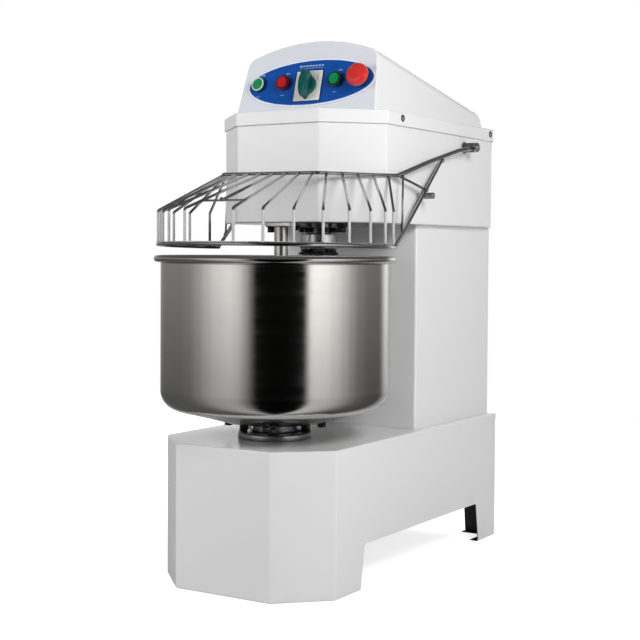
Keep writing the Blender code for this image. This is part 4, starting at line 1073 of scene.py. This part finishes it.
def make_hook():
    at = (HOOK_AT.x, HOOK_AT.y, 0)
    path = hook_path()
    radii, tail = [BAR_RADIUS] * len(path), 14
    for i in range(tail):
        radii[-1 - i] = BAR_RADIUS * sqrt(1 - (1 - (i + 0.6) / (tail + 0.6)) ** 2) * 0.35 + BAR_RADIUS * 0.65
    shape = bmesh.new()
    sweep(shape, path, radii, 28)
    turned(shape, eased([
        (0, 0.5677), (0.0294, 0.5677), (0.03, 0.567), (0.03, 0.561), (0.0285, 0.5585), (0.02, 0.5545),
        (0.015, 0.5505), (0, 0.5495),
    ], 0.001, 3), 72)
    place("spiral_hook_bar", shape, TOOL_STEEL, "stainless_tool", ["spiral_hook"], "hook_drive", at)

    drum = eased([
        (0, 0.662), (0.0145, 0.662), (0.015, 0.6615), (0.015, 0.6057), (0.0337, 0.6057), (0.0345, 0.6049),
        (0.0345, 0.5801), (0.0337, 0.5793), (0, 0.5793),
    ])
    place("hook_drum", turned_mesh(drum, 96), TURNED_STEEL, "stainless_tool", ["hook_shaft"], "hook_drive", at)
    flange = eased([(0, 0.5725), (0.0352, 0.5725), (0.036, 0.5717), (0.036, 0.5688), (0.0352, 0.568), (0, 0.568)])
    shape = bmesh.new()
    turned(shape, flange, 96)
    turned(shape, [(0, 0.579), (0.02, 0.579), (0.02, 0.572), (0, 0.572)], 48)
    ring_of_bolts(shape, (0.0285, 6, 8), 0.0115, 0.572, 0.5788, 0.0032)
    place("hook_flange_bolted", shape, BLACK_STEEL, "dark_steel", ["hook_flange"], "hook_drive", at)

    plate = 0.6165
    top = HEAD_LOW.z - 0.0003
    housing = [
        (0.016, 0.606), (0.0215, 0.606), (0.0225, 0.607), (0.0225, plate), (0.0357, plate),
        (0.0365, plate + 0.0008), (0.0365, top), (0.029, top), (0.029, 0.642), (0.025, 0.642),
        (0.025, 0.622), (0.016, 0.622), (0.016, 0.606),
    ]
    mesh = turned_mesh(housing[::-1], 96, weld=True)
    place("hook_bearing_flange", mesh, CAST, "cast_iron", ["hook_bearing_housing"], at=at)
    shape = bmesh.new()
    low, circle = plate - 0.0012, (0.0292, 6, 20)
    ring_of_bolts(shape, circle, 0.0125, 0.6085, low, 0.0034)
    for _, spot in ring_spots(*circle):
        turned(shape, [(0, plate), (0.0072, plate), (0.0072, low), (0, low)], 28, spot)
    place("hook_bearing_bolts", shape, BLACK_STEEL, "dark_steel", at=at)

    shape = bmesh.new()
    washer = [(0, HEAD_LOW.z), (0.0095, HEAD_LOW.z), (0.0095, 0.6186), (0.0088, 0.618), (0, 0.618)]
    for x in (-0.076, 0.076):
        hexagon(shape, 0.013, 0.6085, 0.6185, (x, 0.098, 0), bore=0.0036)
        turned(shape, washer, 32, (x, 0.098, 0))
    place("head_bolts", shape, BLACK_STEEL, "dark_steel")


def make_breaker():
    low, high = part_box("breaker_bar")
    radius = ((high - low) / 2).x
    post = eased([
        (0, 0.6177), (radius, 0.6177), (radius, 0.312), (radius * 0.94, 0.307), (radius * 0.75, 0.304),
        (radius * 0.4, 0.3024), (0, 0.302),
    ], 0.0012, 3)
    at = (BREAKER_AT.x, BREAKER_AT.y, 0)
    place("breaker_post", turned_mesh(post, 64), TURNED_STEEL, "stainless_tool", ["breaker_bar"], at=at)
    low, high = corners_of("breaker_mount_plate")
    plan = rectangle(low.x, low.y, high.x, high.y, 0.004)
    plate = solid([level(inset(plan, 0.0006), low.z), level(plan, low.z + 0.0006), level(plan, high.z)])
    place("breaker_plate", plate, TOOL_STEEL, "stainless_tool", ["breaker_mount_plate"])
    shape = bmesh.new()
    for x in (-0.018, 0.018):
        hexagon(shape, 0.01, 0.6112, low.z - 0.0001, (x, BREAKER_AT.y + 0.026, 0), bore=0.0028)
    place("breaker_bolts", shape, BLACK_STEEL, "dark_steel")


# ---------------- guard


def ring_point(angle, height=None):
    """A point over the lower ring, which stands a little off the bowl's axis and falls towards the rear."""
    y = -GUARD_RADIUS * cos(angle)
    ring = GUARD_RING_Z - GUARD_RING_FALL * y
    return Vector((GUARD_RADIUS * sin(angle) + GUARD_SHIFT, y, ring if height is None else height))


def bar_top(index):
    """Where bar number index meets the upper rod."""
    count = abs(index)
    if count <= 3:
        return Vector((index * GUARD_TOP_PITCH + GUARD_TOP_SLIP, GUARD_FRONT[1], GUARD_TOP_Z))
    share = 0.12 + (count - 4) * 0.19
    x, y = (front + (corner - front) * share for front, corner in zip(GUARD_FRONT, GUARD_CORNER))
    return Vector((copysign(x, index), y, GUARD_TOP_Z))


def mirrored(points, side):
    return [Vector((side * p[0], p[1], p[2])) for p in points]


def make_wirework():
    shape = bmesh.new()
    turns = [-GUARD_ARC + 2 * GUARD_ARC * i / 96 for i in range(97)]
    sweep(shape, [ring_point(a) for a in turns], RING_WIRE, 18)
    corner, front = (*GUARD_CORNER, GUARD_TOP_Z), (*GUARD_FRONT, GUARD_TOP_Z)
    rod = mirrored([corner, front], -1) + [Vector(front), Vector(corner)]
    sweep(shape, bend_path(rod, 0.012), ROD_WIRE, 16)
    rises = {}
    for index in range(-GUARD_BARS, GUARD_BARS + 1):
        angle = index * GUARD_PITCH + GUARD_TURN
        rises[index] = [ring_point(angle), ring_point(angle, GUARD_BEND_Z), bar_top(index)]
    share = (GRAB_Z - GUARD_BEND_Z) / (GUARD_TOP_Z - GUARD_BEND_Z)
    grab = [rises[index][1].lerp(rises[index][2], share) for index in (-1, 1)]
    sweep(shape, grab, GRAB_WIRE)
    for end in grab:
        lump(shape, end, GRAB_WIRE * 1.5)
    rises[0] = [rises[0][1].lerp(rises[0][2], share), rises[0][2]]
    for path in rises.values():
        sweep(shape, bend_path(path, 0.006, 6), BAR_WIRE)
        lump(shape, path[0] + Vector((0, 0, RING_WIRE * 0.7)), BAR_WIRE * 1.45, 0.8)
        lump(shape, path[-1], BAR_WIRE * 1.5, 0.9)
    rear, knee, foot = (0.19, 0.262, 0.743), (0.19, 0.202, 0.687), (0.1895, 0.112, 0.606)
    arm = [corner, (0.19, 0.215, 0.7395), (0.191, 0.33, 0.765), (0.197, PIVOT_AT.y - 0.004, 0.7735)]
    for side in (-1, 1):
        ring_end = ring_point(side * GUARD_ARC) + Vector((0, 0.001, 0))
        sweep(shape, bend_path(mirrored(arm, side), 0.03, 8), ARM_WIRE, 16)
        brace = mirrored([rear, (0.19, 0.176, 0.664)], side) + [ring_end]
        sweep(shape, bend_path(brace, 0.02, 6), ROD_WIRE, 16)
        twin = mirrored([(0.1855, 0.262, 0.743), (0.1835, 0.176, 0.664)], side) + [ring_end]
        sweep(shape, bend_path(twin, 0.02, 6), BAR_WIRE)
        sweep(shape, mirrored([corner, knee], side), BAR_WIRE)
        sweep(shape, mirrored([(0.188, 0.117, 0.7105), foot], side), BAR_WIRE * 0.8)
        for spot, size in ((corner, 1.7), (knee, 1.8), (foot, 1.7), (rear, 2.1)):
            lump(shape, mirrored([spot], side)[0], BAR_WIRE * size)
        lump(shape, ring_end, RING_WIRE)
    for vert in shape.verts:
        height = min(max((vert.co.z - GUARD_BEND_Z) / (GUARD_TOP_Z - GUARD_BEND_Z), 0), 1)
        ahead = min(max(1 - (vert.co.y - GUARD_CORNER[1]) / 0.2, 0), 1)
        vert.co.z -= GUARD_TILT * (vert.co.x + GUARD_CORNER[0]) * height * ahead

    # Uprights on the right and front of the ring take the paler grey: painted sheen, where the same wire catches more
    # light than its sloping and rear parts.
    def painted_sheen_face(face):
        spot = face.center - Vector((GUARD_SHIFT, 0, 0))
        upright = GUARD_RING_Z + 0.006 < spot.z < GUARD_BEND_Z - 0.004
        return upright and abs(spot.xy.length - GUARD_RADIUS) < 0.004 and (spot.x > 0 or spot.y < 0.06)

    mesh = finished(shape)
    paint(mesh, (CHROME, WIRE_SHEEN_GREY), painted_sheen_face)
    place("guard_wirework", mesh, None, "chrome_wire", ["guard_cage"], "guard", smooth=50)


def make_guard_hubs():
    grooves = [0.027 - i * 0.0016 for i in range(13)]
    hub = [
        (0, 0.0355), (0.005, 0.0352), (0.0078, 0.0338), (0.0088, 0.0322), (0.009, 0.029), (0.008, 0.0284),
        (0.008, 0.0276), *(point for z in grooves for point in ((0.0092, z), (0.0087, z - 0.0008))),
        (0.0086, 0.006), (0.006, 0.006), (0.006, -0.03), (0, -0.03),
    ]
    collar = eased([
        (0.006, 0.0055), (0.011, 0.0055), (0.0115, 0.005), (0.0115, 0.002), (0.008, 0.002), (0.008, -0.01),
        (0.0062, -0.01), (0.006, 0.0055),
    ], 0.0004)
    pitch = 0.0015
    threads = [0.0322 - i * pitch for i in range(20)]
    stud = [
        (0, 0.033), (0.004, 0.033), *(point for z in threads for point in ((0.0056, z), (0.0048, z - pitch / 2))),
        (0.0056, 0.0012), (0.0056, 0.0003), (0, 0.0003),
    ]
    inner = abs(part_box("guard_pivot_right")[0].x)
    for side, name in SIDES:
        axis = outward_x(side)
        mesh = turned_mesh(hub, 64, axis)
        paint(mesh, (DULL_STEEL, ZINC), lambda face: abs(face.center.x) > 0.0278 and face.center.x * side > 0)
        spot = (side * (inner + 0.03), PIVOT_AT.y, PIVOT_AT.z)
        place(f"guard_hub_{name}", mesh, None, "chrome_wire", [f"guard_pivot_{name}"], "guard", spot)
        mesh = turned_mesh(collar, 48, axis, weld=True)
        place(f"pivot_collar_{name}", mesh, TURNED_STEEL, "stainless_tool", [f"pivot_bush_{name}"], at=spot)
        spot = (side * HEAD_HIGH.x, STOP_AT.y, STOP_AT.z)
        mesh = turned_mesh(stud, 40, axis)
        place(f"guard_stop_stud_{name}", mesh, ZINC, "fastener_steel", [f"guard_stop_{name}"], at=spot, smooth=20)


# ---------------- inner pieces


def dress_inner_pieces():
    """The drive inside keeps its CAD shapes and gets finished materials."""
    for surface, names in (
        (RAW_STEEL, "motor_plate"),
        (BLACK_STEEL, "bowl_sprocket hook_sprocket jackshaft countershaft motor_pulley hook_chain bowl_chain"),
        (CAST, "jackshaft_pulley jackshaft_bearing_upper jackshaft_bearing_lower countershaft_bearing"),
        (ZINC, "bowl_bearing hook_bearing"),
        (RUBBER, "drive_belt countershaft_belt"),
        (MOTOR_PAINT, "motor_body control_box"),
        (BLACK, "speed_cam_switch guard_limit_switch"),
    ):
        for name in names.split():
            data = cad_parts[name].data
            data.materials.clear()
            data.materials.append(surface)
            data.shade_smooth()
            data.set_sharp_from_angle(angle=radians(35))


# ---------------- studio

CAMERA_AT = Vector((1.3024, -1.9383, 0.57345))
CAMERA_YAW = radians(31.965)
CAMERA_PITCH = radians(-2.108)
CAMERA_ROLL = radians(0.344)

# Brightness by direction, in degrees from straight ahead of the machine towards its right-hand side.
HORIZON = [
    (-179, 1.15), (-150, 1.15), (-138, 0.85), (-126, 0.34), (-112, 0.27), (-75, 0.29), (-60, 0.34), (-47, 0.52),
    (-38, 0.76), (-26, 1.02), (-12, 1.18), (-3, 1.05), (5, 0.62), (11, 0.2), (15, 0.004), (62, 0.004), (65, 0.6),
    (69, 1.6), (74, 1.66), (84, 1.55), (95, 1.26), (106, 0.88), (115, 0.56), (125, 0.34), (140, 0.24),
    (160, 0.22), (179, 1.15),
]
DOME = 0.12


def make_camera():
    forward = Vector((-sin(CAMERA_YAW) * cos(CAMERA_PITCH), cos(CAMERA_YAW) * cos(CAMERA_PITCH), sin(CAMERA_PITCH)))
    level_right = Vector((cos(CAMERA_YAW), sin(CAMERA_YAW), 0))
    level_up = level_right.cross(forward)
    right = level_right * cos(CAMERA_ROLL) + level_up * sin(CAMERA_ROLL)
    up = level_up * cos(CAMERA_ROLL) - level_right * sin(CAMERA_ROLL)
    data = bpy.data.cameras.new("camera")
    data.sensor_width = 36
    data.lens = 75.04
    data.shift_x = -0.0007
    data.shift_y = -0.0297
    data.clip_start = 0.05
    data.clip_end = 60
    camera = add_object("camera", data)
    camera.matrix_world = Matrix.Translation(AXIS + CAMERA_AT) @ Matrix((right, up, -forward)).transposed().to_4x4()
    bpy.context.scene.camera = camera


def make_floor():
    """A pale disc that fades to white around the machine."""
    profile = [(0, 0), (0.3, 0), (0.7, 0), (1.2, 0), (1.8, 0), (2.15, 0), (2.25, -0.004), (2.25, -0.02), (0, -0.02)]
    floor = add_object("studio_floor", turned_mesh([(r, z - 0.0004) for r, z in profile], 96))
    made, shader = shader_of(
        "pale_floor", (0.93, 0.93, 0.93), 0.6, Specular_IOR_Level=0.1, Emission_Color=(1, 1, 1, 1))
    tree = made.node_tree
    seen = node(tree, "LightPath").outputs["Is Camera Ray"]
    reach = node(tree, "VectorMath", node(tree, "TexCoord").outputs["Object"], operation="LENGTH")
    glow = map_range(tree, reach.outputs["Value"], 0.45, 1.5, 0.78, 1.0, "SMOOTHSTEP")
    lift = node(tree, "Math", seen, glow, operation="MULTIPLY")
    tree.links.new(lift.outputs[0], shader.inputs["Emission Strength"])
    floor.visible_glossy = False
    floor.data.materials.append(made)
    floor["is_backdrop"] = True


def make_world():
    """A white studio for the camera, and softboxes and dark flags around the horizon for light and reflections."""
    world = bpy.data.worlds.new("studio")
    bpy.context.scene.world = world
    world.use_nodes = True
    tree = world.node_tree
    tree.nodes.clear()

    def maths(operation, *values):
        return node(tree, "Math", *values, operation=operation).outputs[0]

    x, y, z = node(tree, "SeparateXYZ", node(tree, "TexCoord").outputs["Generated"]).outputs
    azimuth = maths("ARCTAN2", x, maths("MULTIPLY", y, -1.0))
    horizon = node(tree, "ValToRGB", Fac=maths("MULTIPLY_ADD", azimuth, 1 / tau, 0.5))
    horizon.color_ramp.interpolation = "EASE"
    elements = horizon.color_ramp.elements
    elements.remove(elements[-1])
    for i, (degrees, value) in enumerate(HORIZON):
        position = degrees / 360 + 0.5
        stop = elements[0] if i == 0 else elements.new(position)
        stop.position = position
        stop.color = (value, value, value, 1)
    fall = map_range(tree, z, -0.12, 0.0, 0.4, 1.03)
    low_light = node(tree, "VectorMath", horizon.outputs["Color"], Scale=fall, operation="SCALE")
    rise = map_range(tree, z, 0.14, 0.3, shape="SMOOTHSTEP")
    mixed = node(tree, "Mix", Factor=rise)
    mixed.data_type = "RGBA"
    tree.links.new(low_light.outputs[0], mixed.inputs[6])
    mixed.inputs[7].default_value = (DOME, DOME, DOME, 1)
    lit = node(tree, "Background", Color=mixed.outputs[2])
    white = node(tree, "Background", Color=(1, 1, 1, 1))
    seen = node(tree, "LightPath").outputs["Is Camera Ray"]
    chosen = node(tree, "MixShader", seen, lit.outputs[0], white.outputs[0])
    node(tree, "OutputWorld", Surface=chosen.outputs[0])


def area(name, at, look, size, power):
    data = bpy.data.lights.new(name, "AREA")
    data.shape = "RECTANGLE"
    data.size, data.size_y = size
    data.energy = power
    lamp = add_object(name, data)
    lamp.location = AXIS + Vector(at)
    lamp.rotation_euler = (Vector(look) - Vector(at)).to_track_quat("-Z", "Y").to_euler()
    lamp.visible_camera = False
    lamp.visible_glossy = False


def make_lights():
    head = (0, 0.1, 0.75)
    area("softbox_left", (-0.9, -0.9, 1.05), head, (0.6, 0.5), 9.5)
    area("softbox_right", (1.2, -0.5, 1.2), head, (0.6, 0.5), 14)
    area("side_right", (1.35, 0.45, 0.75), (0, 0.05, 0.45), (0.8, 0.5), 1.6)
    area("rear", (0.33, 2.0, 1.82), (0, 0.15, 0.5), (1.2, 1.2), 13)
    area("rear_left", (-1.3, 1.6, 2.0), (-0.05, 0, 0.3), (1.0, 1.0), 20)


make_base()
make_column()
make_head()
make_top_cover()
make_lid_screws()
make_rear()
make_fascia()
make_push_buttons()
make_lamp()
make_emergency_stop()
make_speed_switch()
make_bowl()
make_hub()
make_hook()
make_breaker()
make_wirework()
make_guard_hubs()
dress_inner_pieces()
make_camera()
make_floor()
make_world()
make_lights()
bpy.context.scene.view_settings.view_transform = "Standard"

boxes = {"cad": CAD_BOX, "visual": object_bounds()}
{name: [list(corner) for corner in corners] for name, corners in boxes.items()}
